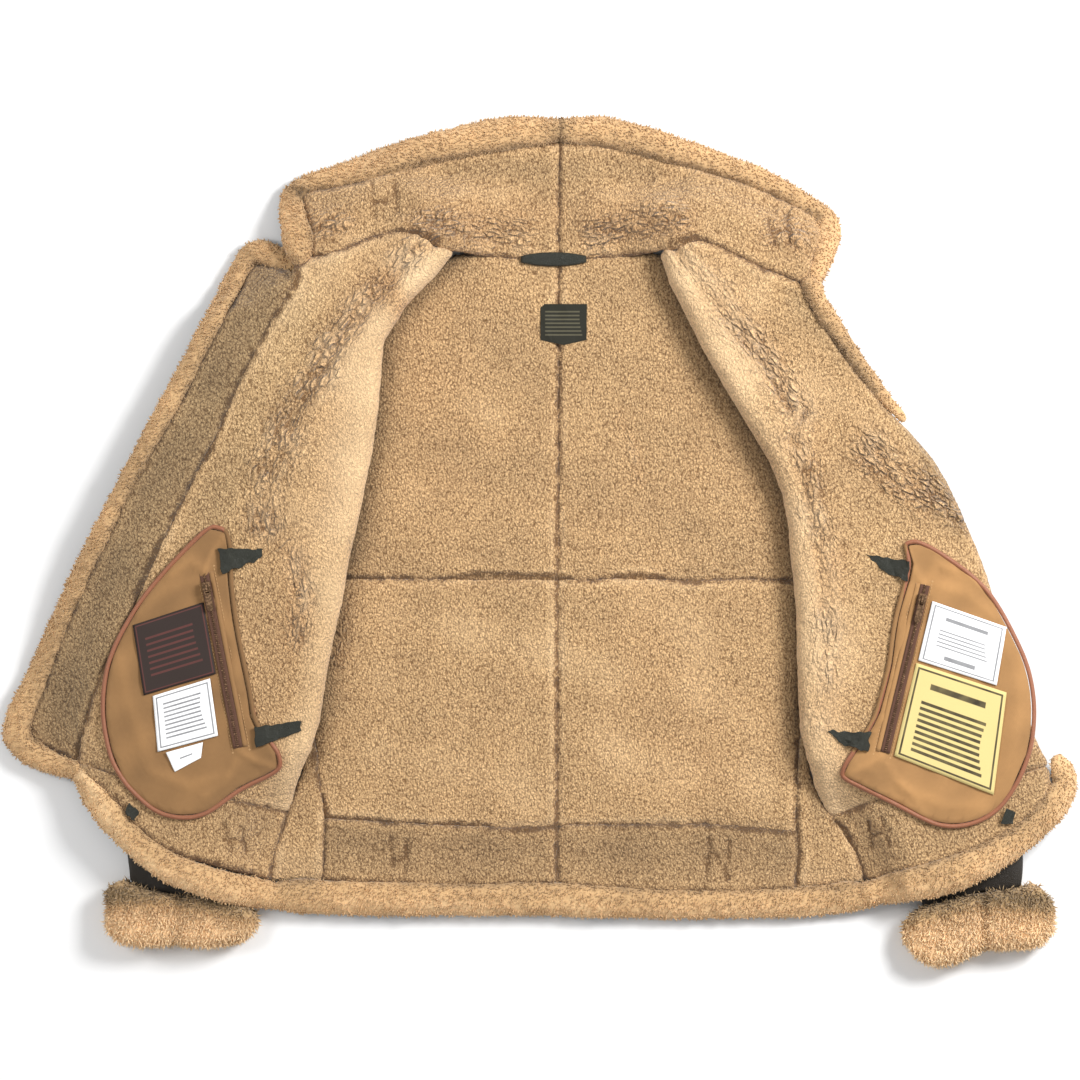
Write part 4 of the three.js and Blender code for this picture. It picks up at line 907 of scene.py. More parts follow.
def label_finishes(settings):
    """The cloth of each label, with its bare ruled lines."""
    white, grey = (0.98, 0.98, 0.98), (0.24, 0.24, 0.25)
    red, black, olive = (0.12, 0.04, 0.034), (0.045, 0.035, 0.02), (0.1, 0.09, 0.055)
    lines, line = [(0.16, 0.84, 9, 0.16, 0.84, 0.3)], [(0.4, 0.6, 1, 0.3, 0.7, 0.3)]
    rules, words = [(0.2, 0.8, 7, 0.14, 0.86, 0.25)], [(0.2, 0.86, 7, 0.1, 0.9, 0.3)]
    bars = [(0.3, 0.62, 5, 0.17, 0.83, 0.25), (0.13, 0.2, 1, 0.3, 0.7, 0.9), (0.74, 0.84, 1, 0.22, 0.78, 0.5)]
    heading = [(0.1, 0.66, 9, 0.14, 0.86, 0.42), (0.76, 0.86, 1, 0.2, 0.8, 0.5)]
    prints = {
        "label_white_left": ("white label left", white, grey, lines, [(0.05, 0.018)]),
        "label_white_right": ("white label right", white, grey, bars, [(0.045, 0.014)]),
        "label_small": ("small label", white, grey, line, []),
        "label_yellow": ("yellow label", settings.yellow, black, heading, [(0.035, 0.014)]),
        "label_brown": ("brown label", settings.brown, red, rules, [(0.03, 0.01)]),
        "neck_label": ("neck label", settings.neck, olive, words, [], 0.9),
    }
    return {name: print_finish(*facts) for name, facts in prints.items()}


def shelf(settings):
    """The finishes by the record's slots, and the trees, made the first time that they are asked for."""
    if not SHELF:
        SHELF.update({
            "shearling": wool_finish(settings),
            "leather": leather_finish("sleeve hide", settings.hide, 0.0018),
            "tab": leather_finish("tab hide", settings.tab, 0.0012),
            "cotton": cotton_finish(settings),
            "piping": thread_finish("bound piping", settings.piping, 0.5),
            "thread": thread_finish("stitching", settings.thread),
            "zip_tape": tape_finish(settings),
            "metal": brass_finish(settings),
            "floor": floor_finish(settings),
            "pile": pile_tree(),
            "locks": lock_tree(),
            "row": row_tree(),
            **label_finishes(settings),
        })
    return SHELF


# Wool and leather walls


def remeshed(piece_name, source, cell, rounds):
    """A CAD node's shape as an even skin with softened edges."""
    piece = start(piece_name, merged(source))
    skin = piece.modifiers.new("Even skin", "REMESH")
    skin.mode = "VOXEL"
    skin.voxel_size = cell
    skin.use_smooth_shade = True
    soft = piece.modifiers.new("Rounded above", "SMOOTH")
    soft.use_x = soft.use_y = False
    soft.iterations = rounds
    return settle(piece)


def half_area(mesh):
    """Half of the surface of a closed wall: the area of its cloth."""
    return sum(face.area for face in mesh.polygons) / 2


def draw_over(mesh, name):
    """Draws a wool node's corners over to its neighbours, from the table of pulls."""
    points = points_of(mesh)
    for (x, y), wide, (right, down) in rows_for(name, PULLS):
        share = near(points, [(x, y), (x + 1, y)], wide)
        points[:, 0] += right * MM * share
        points[:, 1] -= down * MM * share
    put_points(mesh, points)


def wool_fields(mesh, name):
    """Keeps where the wool is creased, parted or swollen, and how light it lies, from the tables."""
    points = points_of(mesh)
    fluffy = is_fluffy(name)
    drift = waver(points, 0.02, 11) * 0.0007 + waver(points, 0.007, 13) * 0.0006
    thin = np.clip(0.8 + 0.35 * waver(points, 0.012, 7), 0.25, 1.1)
    uneven = np.clip(0.85 + 0.3 * waver(points, 0.06, 23), 0.2, 1.2)
    zero = np.zeros(len(points))
    parting, crease, swell, way, across, warmth, reach = (zero.copy() for _ in range(7))
    tone_and_light = zero + next(value for first, value in PANEL_TONES_AND_LIGHT if name.startswith(first))

    # Painted shade along the seams, wide on the rolls, with a painted highlight on the lips to each side
    seam_shade, seam_width = (0.4, 0.01) if fluffy else (0.1, 0.004)
    for (line,) in rows_for(name, SEAMS):
        away = distance(points, line) + drift
        parting = np.maximum(parting, thin * bell(away, 0.0026))
        tone_and_light += 0.1 * bell(away - 0.006, 0.003) - seam_shade * bell(away, seam_width)
    for line, far, wide in rows_for(name, JOINS):
        reach = np.maximum(reach, far * MM * near(points, line, wide))
    for strokes in rows_for(name, MARKS):
        for line in strokes:
            away = distance(points, line) + drift * 0.5
            parting = np.maximum(parting, 0.75 * thin * bell(away, 0.0017))
    for line, wide, depth in rows_for(name, CREASES):
        away, line_way, line_across = beside(points, line)
        deep = depth * bell(away, wide * MM) * uneven
        nearer = deep > crease
        crease[nearer] = deep[nearer]
        way[nearer], across[nearer] = line_way[nearer], line_across[nearer]
    for line, wide, high in rows_for(name, SWELLS):
        swell += high * MM * near(points, line, wide)
    if name in FOLDS:
        smooth = near(points, FOLDS[name], 30)
        # Painted highlight along the fold edge, where the wool is also smoothed of creases
        tone_and_light += 0.24 * smooth
        crease *= 1 - 0.75 * smooth
    elif name.startswith(BACK_NODES):
        # Painted shadow of the fronts' folds on the back beside them
        for line in FOLDS.values():
            tone_and_light -= 0.52 * np.exp(-distance(points, line) / 0.013)
    for line, wide, light, warm in rows_for(name, SHADES):
        tone_and_light += light * near(points, line, wide)
        warmth += warm * near(points, line, wide)

    # Painted shade in the hollows of the swells and painted light on their crests, with some random tone
    tone_and_light += 24 * swell + 0.05 * waver(points, 0.09, 37)
    plaits = np.column_stack([way * 0.4, across])
    ridge = 0.6 * waver(plaits, 0.014, 43) + 0.5 * waver(plaits, 0.009, 47)
    swell += 0.0015 * crease * ridge
    # Painted light on the creased bands, strongest on their ridges
    tone_and_light += crease * (0.12 + 0.12 * np.clip(ridge, -1.2, 0.8))
    warmth += 0.55 * crease
    fields = {"tone_and_light": tone_and_light, "parting": np.clip(parting, 0, 1), "crease": np.clip(crease, 0, 1),
              "swell": swell, "way": way, "across": across, "warmth": warmth, "reach": reach,
              "plain": zero + fluffy}
    for field, values in fields.items():
        keep_field(mesh, field, values)


def is_fluffy(name):
    """Whether a wool node is a rolled edge or a cuff, where the pile stands free."""
    return runs_on(name, ROLLS) or name.startswith("cuff")


def finish_piece(piece, slot, replaced=(), smooth=True):
    """Nothing below the floor, the shading, then the piece's body, slot and the nodes that it stands for."""
    points = points_of(piece.data)
    points[:, 2] = np.maximum(points[:, 2], 0.0)
    put_points(piece.data, points)
    piece.data.polygons.foreach_set("use_smooth", [smooth] * len(piece.data.polygons))
    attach(piece, "root")
    if replaced:
        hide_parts(*replaced)
    return piece


# What each wool or leather wall lies on, where it isn't the floor
RESTS = {
    "wind_flap": ["sleeve_upper_left"],
    "flap_roll": ["sleeve_upper_left"],
    "front_roll_right": ["sleeve_upper_right"],
}
for one in SIDES:
    RESTS[f"front_{one}"] = [f"sleeve_upper_{one}", f"back_upper_{one}", f"gusset_{one}"]
    RESTS[f"front_hem_band_{one}"] = [f"sleeve_upper_{one}"]
    RESTS[f"collar_{one}"] = [f"front_{one}"]
    RESTS[f"collar_roll_{one}"] = [f"collar_{one}"]
    RESTS[f"cuff_upper_{one}"] = [f"cuff_under_{one}"]
    RESTS[f"sleeve_upper_{one}"] = [f"sleeve_under_{one}"]
    RESTS[f"hem_roll_{one}"] = [f"sleeve_upper_{one}"]


def wool_piece(name, settings):
    """One wool panel, roll or cuff wall, declared as the sheet that it is cut from."""
    finishes = shelf(settings)
    fluffy = is_fluffy(name)
    piece = remeshed("wool_" + name, name, settings.fine_cell if fluffy else settings.cell, 5)
    wide, long = CUTS[name]
    area = min(half_area(piece.data), wide * long)
    draw_over(piece.data, name)
    wool_fields(piece.data, name)
    grow(piece, finishes["pile"], **{
        "Swell size": settings.swell,
        "Swell height": settings.swell_height * (1.2 if fluffy else 1.0),
        "Clump size": settings.clump * (1.2 if fluffy else 1.0),
        "Clump height": settings.clump_height * (2.0 if fluffy else 1.0),
        "Groove": settings.groove,
        "Fullness": settings.fullness * (1.8 if fluffy else 1.0),
        "Seed": float(list(CUTS).index(name) % 5),
        "Wool": finishes["shearling"],
    })
    upward = vectors_of(piece.data.polygons, "normal")[:, 2]
    second_finish(piece.data, finishes["leather"], upward < LOOKS_DOWN)
    finish_piece(piece, "shearling", replaced=[name])
    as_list(RESTS.get(name, ["floor"]))


def leather_piece(name, settings):
    """One wall of a sleeve, in creased hide."""
    piece = remeshed("hide_" + name, name, settings.sleeve_cell, 4)
    wide, long = SLEEVES[name]
    area = min(half_area(piece.data), wide * long)
    points = points_of(piece.data)
    inside = np.clip((points[:, 2] - 0.001) / 0.004, 0, 1)
    points[:, 2] += inside * 0.0011 * waver(points, 0.045, 31)
    put_points(piece.data, points)
    piece.data.materials.append(shelf(settings)["leather"])
    finish_piece(piece, "leather", replaced=[name])
    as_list(RESTS.get(name, ["floor"]))


# Locks of wool at the rolls, cuffs and edges


# Groups of locks: the wool pieces that they stand on, then length, width, comb and number per square metre
LOCK_GROUPS = {
    "locks_collar": (("collar_roll_left", "collar_roll_right"), 0.003, 0.0012, (0.0, 0.6), 190000),
    "locks_hem": (("hem_roll_left", "hem_roll_back", "hem_roll_right"), 0.003, 0.0012, (0.0, -0.6), 170000),
    "locks_flap": (("flap_roll", "front_roll_right"), 0.003, 0.0012, (-0.5, 0.0), 190000),
    "locks_cuffs": (("cuff_under_left", "cuff_upper_left", "cuff_under_right", "cuff_upper_right"),
                    0.0064, 0.0013, (0.0, -0.9), 250000),
}
LOCK_LEAN = 0.8  # how far a lock leans at random
LOCK_TIPS = (0.0, 0.08, 0.2)  # how much lighter a lock is at its foot, waist and tip than the nap
WAIST, TIP = (0.16, 0.55), (0.5, 0.84)  # how far over and up they are, in lengths of the lock


def lock_shape(long, wide):
    """A small bent tapering lock, standing on its base."""
    form = bmesh.new()
    rings = []
    for lean, share in ((0.0, 0.0), WAIST):
        radius = wide / 2 * (1 - 0.25 * share)
        turns = [2 * math.pi * corner / 3 for corner in range(3)]
        over, up = lean * long, share * long
        rings.append([form.verts.new((radius * math.cos(turn) + over, radius * math.sin(turn), up))
                      for turn in turns])
    tip = form.verts.new((long * TIP[0], 0, long * TIP[1]))
    low, high = rings
    for corner in range(3):
        after = (corner + 1) % 3
        form.faces.new((low[corner], low[after], high[after], high[corner]))
        form.faces.new((high[corner], high[after], tip))
    form.faces.new(reversed(low))
    mesh = shaped("lock", form)
    keep_field(mesh, "tip", np.interp(points_of(mesh)[:, 2] / long, (0, WAIST[1], TIP[1]), LOCK_TIPS))
    return start("lock", mesh)


def lock_group(name, settings):
    """The locks that stand on one group of wool pieces."""
    finishes = shelf(settings)
    nodes, long, wide, comb, thick = LOCK_GROUPS[name]
    form = bmesh.new()
    skins = [bpy.data.objects["wool_" + one].data for one in nodes]
    for skin in skins:
        form.from_mesh(skin)
    mesh = shaped(name, form)
    keep_field(mesh, "locks", np.clip((vectors_of(mesh.vertices, "normal")[:, 2] + 0.25) / 0.4, 0, 1))
    for field in ("tone_and_light", "warmth", "parting", "plain"):
        keep_field(mesh, field, np.concatenate([field_of(skin, field) for skin in skins]))
    shape = lock_shape(long, wide)
    piece = grow(start(name, mesh), finishes["locks"], **{
        "Lock": shape, "Density": thick * settings.lock_density, "Lean": LOCK_LEAN, "Seed": 41,
        "Comb across": comb[0], "Comb up": comb[1], "Wool": finishes["shearling"],
    })
    bpy.data.objects.remove(shape)
    finish_piece(piece, "shearling")


# Pockets, zips, labels and tabs


def finer(piece, levels, kind="SIMPLE"):
    """Divides a piece's faces evenly."""
    divide = piece.modifiers.new("Finer", "SUBSURF")
    divide.subdivision_type = kind
    divide.levels = divide.render_levels = levels
    return settle(piece)


def fill_out(mesh, reach, upward=1.0):
    """Moves the skin outwards by that reach, and up and down by a share of it."""
    push = vectors_of(mesh.vertices, "normal") * (reach, reach, reach * upward)
    put_points(mesh, points_of(mesh) + push)


# The bags' inner edges, which are folded twill and not corded
BARE_EDGES = {
    "left": [(231, 532), (234, 570), (240, 640), (250, 715), (266, 738)],
    "right": [(899, 548), (896, 590), (884, 660), (868, 715), (850, 745)],
}
# Painted light of each bag: the left bag is painted darker, as if in shade
BAG_LIGHT = {"left": 0.69, "right": 0.94}  # how light each bag's twill is

# Wrinkles of the bags, their crests painted lighter: line, half width, height
WRINKLES = {
    "left": [
        ([(205, 570), (190, 560), (172, 575)], 5, 1.2),
        ([(205, 572), (212, 552), (222, 540)], 4, 1.0),
        ([(197, 580), (165, 590), (140, 612)], 6, 0.9),
        ([(120, 660), (128, 700), (150, 760)], 8, 0.9),
        ([(150, 770), (190, 785), (225, 775)], 6, 1.0),
        ([(240, 750), (255, 760), (270, 765)], 4, 1.2),
        ([(236, 760), (228, 780), (205, 795)], 4, 0.9),
        ([(216, 600), (232, 640), (240, 690)], 4, 0.8),
    ],
    "right": [
        ([(923, 582), (935, 565), (950, 570)], 5, 1.2),
        ([(920, 583), (908, 565), (905, 552)], 4, 1.0),
        ([(935, 585), (965, 595), (990, 615)], 6, 0.9),
        ([(1018, 660), (1020, 700), (1008, 760)], 8, 0.9),
        ([(980, 805), (940, 805), (900, 785)], 6, 1.0),
        ([(880, 755), (865, 765), (852, 772)], 4, 1.2),
        ([(884, 762), (895, 780), (915, 800)], 4, 0.9),
        ([(905, 620), (890, 680), (880, 720)], 4, 0.8),
    ],
}


def lit_evenly(mesh, tone_and_light):
    """Keeps one nap for the whole mesh."""
    keep_field(mesh, "tone_and_light", np.full(len(mesh.vertices), tone_and_light))


def bag(side, settings):
    """A pocket bag in twill, with wrinkles from the zip's ends and along its edge."""
    node_name = f"pocket_bag_{side}"
    piece = start("bag_" + side, merged(node_name))
    area = half_area(piece.data)
    finer(piece, 2)
    fill_out(piece.data, 0.0014, 0.0)
    points = points_of(piece.data)
    low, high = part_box(node_name)
    tone_and_light = np.full(len(points), BAG_LIGHT[side])
    for line, wide, tall in WRINKLES[side]:
        share = near(points, line, wide)
        points[:, 2] += 1.5 * tall * MM * share
        # Painted highlight on the crests of the wrinkles
        tone_and_light += 0.12 * tall * share
    points[:, 2] += 0.0006 * waver(points, 0.035, 5)
    put_points(piece.data, points)
    keep_field(piece.data, "tone_and_light", tone_and_light + 0.06 * waver(points, 0.05, 9))
    piece.data.materials.append(shelf(settings)["cotton"])
    finish_piece(piece, "cotton", replaced=[node_name])
    wide, long = high.x - low.x, high.y - low.y


def piping(side, settings):
    """The corded edge round a bag, bare along the inner side."""
    finishes = shelf(settings)
    node_name = f"pocket_piping_{side}"
    piece = start("piping_" + side, merged(node_name))
    finer(piece, 2, "CATMULL_CLARK")
    fill_out(piece.data, 0.0005)
    # The bare edges take their bag's painted light, made darker
    lit_evenly(piece.data, BAG_LIGHT[side] * 0.8)
    piece.data.materials.append(finishes["piping"])
    bare = distance(vectors_of(piece.data.polygons, "center"), BARE_EDGES[side]) < 0.006
    second_finish(piece.data, finishes["cotton"], bare)
    finish_piece(piece, "piping", replaced=[node_name])


def lifted_line(line, height, lift, step=0.003):
    """Points along a plan line, lying on what is under it."""
    corners = [Vector(spot(*place)) for place in line]
    places = []
    for a, b in zip(corners[:-1], corners[1:]):
        count = max(1, round((b - a).length / step))
        places += [a.lerp(b, i / count) for i in range(count)]
    points, ground = [], None
    for place in [*places, corners[-1]]:
        ground = height(place.x, place.y, ground)
        points.append((place.x, place.y, (ground or 0) + lift))
    return points


def block(name, sides, bevel):
    """A small box about its middle, with its edges eased."""
    form = bmesh.new()
    bmesh.ops.create_cube(form, size=1)
    bmesh.ops.scale(form, vec=sides, verts=form.verts)
    bmesh.ops.bevel(form, geom=form.edges[:], offset=bevel, segments=1, affect="EDGES")
    return start(name, shaped(name, form))


def rows_along(name, lines, height, lift, shape, step, finish):
    """Copies of a shape at even steps along plan lines, over what is under them, as one piece."""
    form = bmesh.new()
    for line in lines:
        points = lifted_line(line, height, lift)
        wire = bpy.data.meshes.new("row")
        wire.from_pydata(points, [(i, i + 1) for i in range(len(points) - 1)], [])
        row = grow(start("row", wire), SHELF["row"], Shape=shape, Step=step, Finish=finish)
        form.from_mesh(row.data)
        bpy.data.objects.remove(row)
    bpy.data.objects.remove(shape)
    return start(name, shaped(name, form, finish))


def wall(name, across, along, place, finish, mapped=False):
    """A thin closed wall of cells across and along; place gives the point of a layer, column and row."""
    form = bmesh.new()
    chart = form.loops.layers.uv.new("UVMap") if mapped else None
    grid = {cell: form.verts.new(place(*cell))
            for cell in itertools.product((0, 1), range(across + 1), range(along + 1))}

    def face(*cells):
        added = form.faces.new([grid[cell] for cell in cells])
        if mapped:
            for loop, (_, i, j) in zip(added.loops, cells):
                loop[chart].uv = (i / across, j / along)

    for i, j in itertools.product(range(across), range(along)):
        face((1, i, j), (1, i + 1, j), (1, i + 1, j + 1), (1, i, j + 1))
        face((0, i, j + 1), (0, i + 1, j + 1), (0, i + 1, j), (0, i, j))
    for i in range(across):
        face((0, i, 0), (0, i + 1, 0), (1, i + 1, 0), (1, i, 0))
        face((1, i, along), (1, i + 1, along), (0, i + 1, along), (0, i, along))
    for j in range(along):
        face((0, 0, j), (1, 0, j), (1, 0, j + 1), (0, 0, j + 1))
        face((0, across, j + 1), (1, across, j + 1), (1, across, j), (0, across, j))
    bmesh.ops.recalc_face_normals(form, faces=form.faces)
    return start(name, shaped(name, form, finish))


def strip(name, ends, half, height, base, thick, finish, bulge=0.0):
    """A long flat strip along a plan line: half its width, its underside over what lies below."""
    centre = [Vector(point) for point in lifted_line(ends, height, base, 0.004)]
    along = (centre[-1] - centre[0]).normalized()
    side = Vector((along.y, -along.x, 0)).normalized()
    cells = 6

    def place(layer, i, j):
        across = 2 * i / cells - 1
        rise = layer * (thick + bulge * (1 - across * across))
        return centre[j] + side * half * across + Vector((0, 0, rise))

    return wall(name, cells, len(centre) - 1, place, finish)


def zip_pieces(side, settings):
    """The zip's tape, its two rows of teeth, its welt and the stitching round it."""
    finishes = shelf(settings)
    a, b = (Vector(end) for end in ZIPS[side])
    along = (b - a).normalized()
    out = Vector((along.y, -along.x))
    bag_top = top_of(f"pocket_bag_{side}")
    tape = strip(f"zip_tape_{side}", [a, b], 0.0047, bag_top, TAPE_RISE, 0.0009, finishes["zip_tape"])
    finish_piece(tape, "zip_tape", replaced=[f"pocket_zip_{side}"])

    lines = [[a + along * (0.6 + 0.5 * sign) + out * sign * 0.6, b - along * 2 + out * sign * 0.6]
             for sign in (-1, 1)]
    tooth = block("tooth", (0.002, 0.0011, 0.0008), 0.0002)
    rise = TAPE_RISE + TOOTH_RISE
    teeth = rows_along(f"zip_teeth_{side}", lines, bag_top, rise, tooth, 0.002, finishes["metal"])
    finish_piece(teeth, "metal")

    inward = out if side == "left" else -out
    lean = inward * WELT_AWAY
    welt = strip(f"zip_welt_{side}", [a + lean, b + lean], 0.0024, bag_top, 0.0001, 0.0009,
                 finishes["cotton"], 0.0009)
    # The welt takes its bag's painted light, a little lighter
    lit_evenly(welt.data, BAG_LIGHT[side] * 1.06)
    finish_piece(welt, "cotton")

    ends = a - along * 5, b + along * 4
    shifts = [inward * away for away in STITCHED_BOX]
    lines = [[ends[0] + shift, ends[1] + shift] for shift in shifts]
    lines += [[end + shifts[0], end + shifts[1]] for end in ends]
    stitch = block("stitch", (0.0007, 0.0006, 0.0024), 0.00022)
    rows = rows_along(f"zip_stitches_{side}", lines, bag_top, 0.0002, stitch, 0.0034, finishes["thread"])
    finish_piece(rows, "cotton")


def label_piece(name, settings):
    """A label as thin cloth that follows the bag, a little curled at its corners."""
    inner_top, outer_top, outer_foot, inner_foot = [Vector(spot(*corner)) for corner in LABELS[name]]
    side = "left" if inner_top.x < 0 else "right"
    foot, top = (outer_foot, inner_foot), (outer_top, inner_top)
    if side == "right":
        foot, top = foot[::-1], top[::-1]
    height = top_of(f"pocket_bag_{side}")
    cells, thick, lift, otherwise = 24, 0.0006, 0.0011, 0.045

    def place(layer, i, j):
        u, v = i / cells, j / cells
        at = foot[0].lerp(foot[1], u).lerp(top[0].lerp(top[1], u), v)
        edge = max(abs(u - 0.5), abs(v - 0.5)) * 2
        curl = 0.0008 * max(0, edge - 0.6) * math.sin(9 * u + 7 * v)
        return at.x, at.y, height(at.x, at.y, otherwise) + lift + curl + thick * layer

    piece = wall("cloth_" + name, cells, cells, place, shelf(settings)[name], mapped=True)
    slot = {"label_brown": "label_dark", "label_yellow": "label_yellow"}.get(name, "label_white")
    finish_piece(piece, slot, replaced=[name])


def neck_pieces(settings):
    """The neck label and the hanger loop above it."""
    finishes = shelf(settings)
    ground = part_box("neck_label")[0].z
    corners = [Vector(spot(*corner)) for corner in NECK_LABEL]
    form = bmesh.new()
    form.faces.new([form.verts.new((corner.x, corner.y, ground)) for corner in corners])
    solid = bmesh.ops.extrude_face_region(form, geom=form.faces[:])
    raised = [v for v in solid["geom"] if isinstance(v, bmesh.types.BMVert)]
    bmesh.ops.translate(form, vec=(0, 0, 0.0009), verts=raised)
    bmesh.ops.recalc_face_normals(form, faces=form.faces)
    bmesh.ops.triangulate(form, faces=form.faces)
    bmesh.ops.subdivide_edges(form, edges=form.edges[:], cuts=3, use_grid_fill=True)
    chart = form.loops.layers.uv.new("UVMap")
    low_x, high_x = corners[0].x, corners[1].x
    low_y, high_y = corners[3].y, corners[0].y
    for face in form.faces:
        for loop in face.loops:
            place = loop.vert.co
            loop[chart].uv = ((place.x - low_x) / (high_x - low_x), (place.y - low_y) / (high_y - low_y))
    piece = start("cloth_neck_label", shaped("cloth_neck_label", form, finishes["neck_label"]))
    points = points_of(piece.data)
    points[:, 2] += 0.0005 * waver(points, 0.02, 8) + 0.0008
    put_points(piece.data, points)
    finish_piece(piece, "label_dark", replaced=["neck_label"], smooth=False)
    loop = start("hide_hanger_loop", merged("hanger_loop"))
    finer(loop, 2, "CATMULL_CLARK")
    loop.data.materials.append(finishes["tab"])
    finish_piece(loop, "leather", replaced=["hanger_loop"])


def tab_piece(name, settings):
    """A dark hide tab or patch with its edges eased and a little buckled."""
    piece = start("hide_" + name, merged(name))
    area = half_area(piece.data)
    finer(piece, 3)
    points = points_of(piece.data)
    points[:, 2] += 0.0006 * waver(points, 0.016, 17) + (PATCH_LIFT if name in PATCHES else 0)
    points[:, 0] += 0.0009 * waver(points[:, [1, 0, 2]], 0.011, 19)
    points[:, 1] += 0.0009 * waver(points, 0.01, 29)
    put_points(piece.data, points)
    piece.modifiers.new("Eased", "SMOOTH").iterations = 3
    settle(piece)
    piece.data.materials.append(shelf(settings)["tab"])
    finish_piece(piece, "leather", replaced=[name])
    low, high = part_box(name)
    side = "left" if "left" in name else "right"


def metal_nodes(settings):
    """Gives the sliders and their pull tabs, which keep their CAD shapes, the aged brass."""
    for part, side in itertools.product(("slider", "pull"), SIDES):
        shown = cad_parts[f"zip_{part}_{side}"].data
        shown.materials.clear()
        shown.materials.append(shelf(settings)["metal"])


# The floor, the lights and the camera


def stand(name, data, place, turn):
    """Stands a light or a camera in the scene."""
    holder = bpy.data.objects.new(name, data)
    holder.location, holder.rotation_euler = place, turn
    bpy.context.scene.collection.objects.link(holder)
    return holder


def stage(settings):
    """The floor, the lights and the camera, which looks straight down."""
    half, below = 6.0, -0.0004
    mesh = bpy.data.meshes.new("floor")
    corners = [(-half, -half), (half, -half), (half, half), (-half, half)]
    mesh.from_pydata([(x, y, below) for x, y in corners], [], [(0, 1, 2, 3)])
    mesh.materials.append(shelf(settings)["floor"])
    start("floor", mesh)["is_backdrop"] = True

    scene = bpy.context.scene
    scene.view_settings.view_transform = "Standard"
    scene.world = bpy.data.worlds.new("Studio")
    scene.world.use_nodes = True
    colour, strength = scene.world.node_tree.nodes["Background"].inputs[:2]
    colour.default_value = (1.0, 1.0, 1.0, 1.0)
    strength.default_value = settings.ambient
    for name, place, wide, power in (
        ("key", (1.7, 1.0, 1.8), 1.0, settings.key_power),
        ("fill", (-1.6, 0.3, 2.0), 1.0, settings.fill_power),
        ("overhead", (0.0, 0.2, 3.2), 3.0, settings.overhead_power),
    ):
        lamp = bpy.data.lights.new(name, "AREA")
        lamp.shape = "DISK"
        lamp.size = wide
        lamp.energy = power
        stand(name, lamp, place, (-Vector(place)).to_track_quat("-Z", "Y").to_euler())

    lens = bpy.data.cameras.new("camera")
    lens.sensor_width = FILM
    lens.lens = FILM * settings.distance / settings.view_width
    lens.clip_end = 50
    scene.camera = stand("camera", lens, (0, 0, AIM + settings.distance), (0, 0, 0))


# The add-on


def size(name, value, words, low=0.0):
    return FloatProperty(name=name, description=words, default=value, min=low, unit="LENGTH", precision=4)


def power(name, value, words):
    return FloatProperty(name=name, description=words, default=value, min=0, unit="POWER")


def tint(name, value, words):
    return FloatVectorProperty(name=name, description=words, default=value, min=0, max=1, subtype="COLOR")


class CoatSettings(bpy.types.PropertyGroup):
    """The sizes and colours that a user of the coat may change."""

    cell: size("Panel cell", 0.0028, "Cell of the even skin of a panel", 0.001)
    fine_cell: size("Roll cell", 0.0024, "Cell of the even skin of a roll or cuff", 0.001)
    sleeve_cell: size("Sleeve cell", 0.005, "Cell of the even skin of a sleeve", 0.001)
    curl: size("Curl", 0.0024, "Width of one curl of the wool", 0.001)
    curl_depth: size("Curl depth", 0.0022, "Depth of the relief of the curls")
    clump: size("Clump", 0.008, "Width of a clump of wool", 0.001)
    clump_height: size("Clump height", 0.0012, "Height of a clump of wool")
    groove: size("Groove", 0.0024, "Depth of the wool's parting at a seam")
    fullness: size("Fullness", 0.0011, "How far the wool stands out all round")
    swell: size("Swell", 0.05, "Width of a swell of the skin", 0.001)
    swell_height: size("Swell height", 0.0016, "Height of a swell of the skin")
    lock_density: FloatProperty(
        name="Lock density", description="Share of the usual number of locks", default=1.0, min=0)
    wool_tip: tint("Wool tips", (0.86, 0.575, 0.305), "Colour of the tips of the wool")
    wool_root: tint("Wool roots", (0.17, 0.086, 0.029), "Colour deep in the wool")
    wool_cream: tint("Wool cream", (0.9, 0.66, 0.39), "Colour of the palest wool, on rolls and cuffs")
    wool_warm: tint("Warm tint", (1.0, 0.9, 0.79), "Tint of the warmer patches")
    wool_cool: tint("Cool tint", (0.95, 0.98, 0.92), "Tint of the cooler patches")
    hide: tint("Hide", (0.03, 0.024, 0.018), "Colour of the sleeves and the coat's outer side")
    tab: tint("Tab hide", (0.023, 0.024, 0.016), "Colour of the tabs and the hanger loop")
    cotton: tint("Twill", (0.42, 0.22, 0.08), "Colour of the pocket bags")
    piping: tint("Piping", (0.28, 0.1, 0.045), "Colour of the bound edge of the bags")
    thread: tint("Thread", (0.5, 0.3, 0.13), "Colour of the stitching")
    tape: tint("Zip tape", (0.13, 0.058, 0.034), "Colour of the zip tape")
    brass: tint("Brass", (0.3, 0.18, 0.1), "Colour of the zip teeth and sliders")
    yellow: tint("Yellow label", (0.72, 0.58, 0.24), "Cloth of the yellow label")
    brown: tint("Brown label", (0.036, 0.023, 0.019), "Cloth of the brown label")
    neck: tint("Neck label", (0.019, 0.018, 0.011), "Cloth of the neck label")
    floor: tint("Floor", (0.95, 0.95, 0.95), "Colour of the floor")
    ambient: FloatProperty(name="Ambient", description="Light from all round", default=0.36, min=0)
    key_power: power("Key", 80, "Power of the key light")
    fill_power: power("Fill", 20, "Power of the fill light")
    overhead_power: power("Overhead", 9.5, "Power of the light overhead")
    distance: size("Camera distance", 5.0, "How far off the camera stands")
    view_width: size("View width", 1.08, "Width of the picture at the coat")


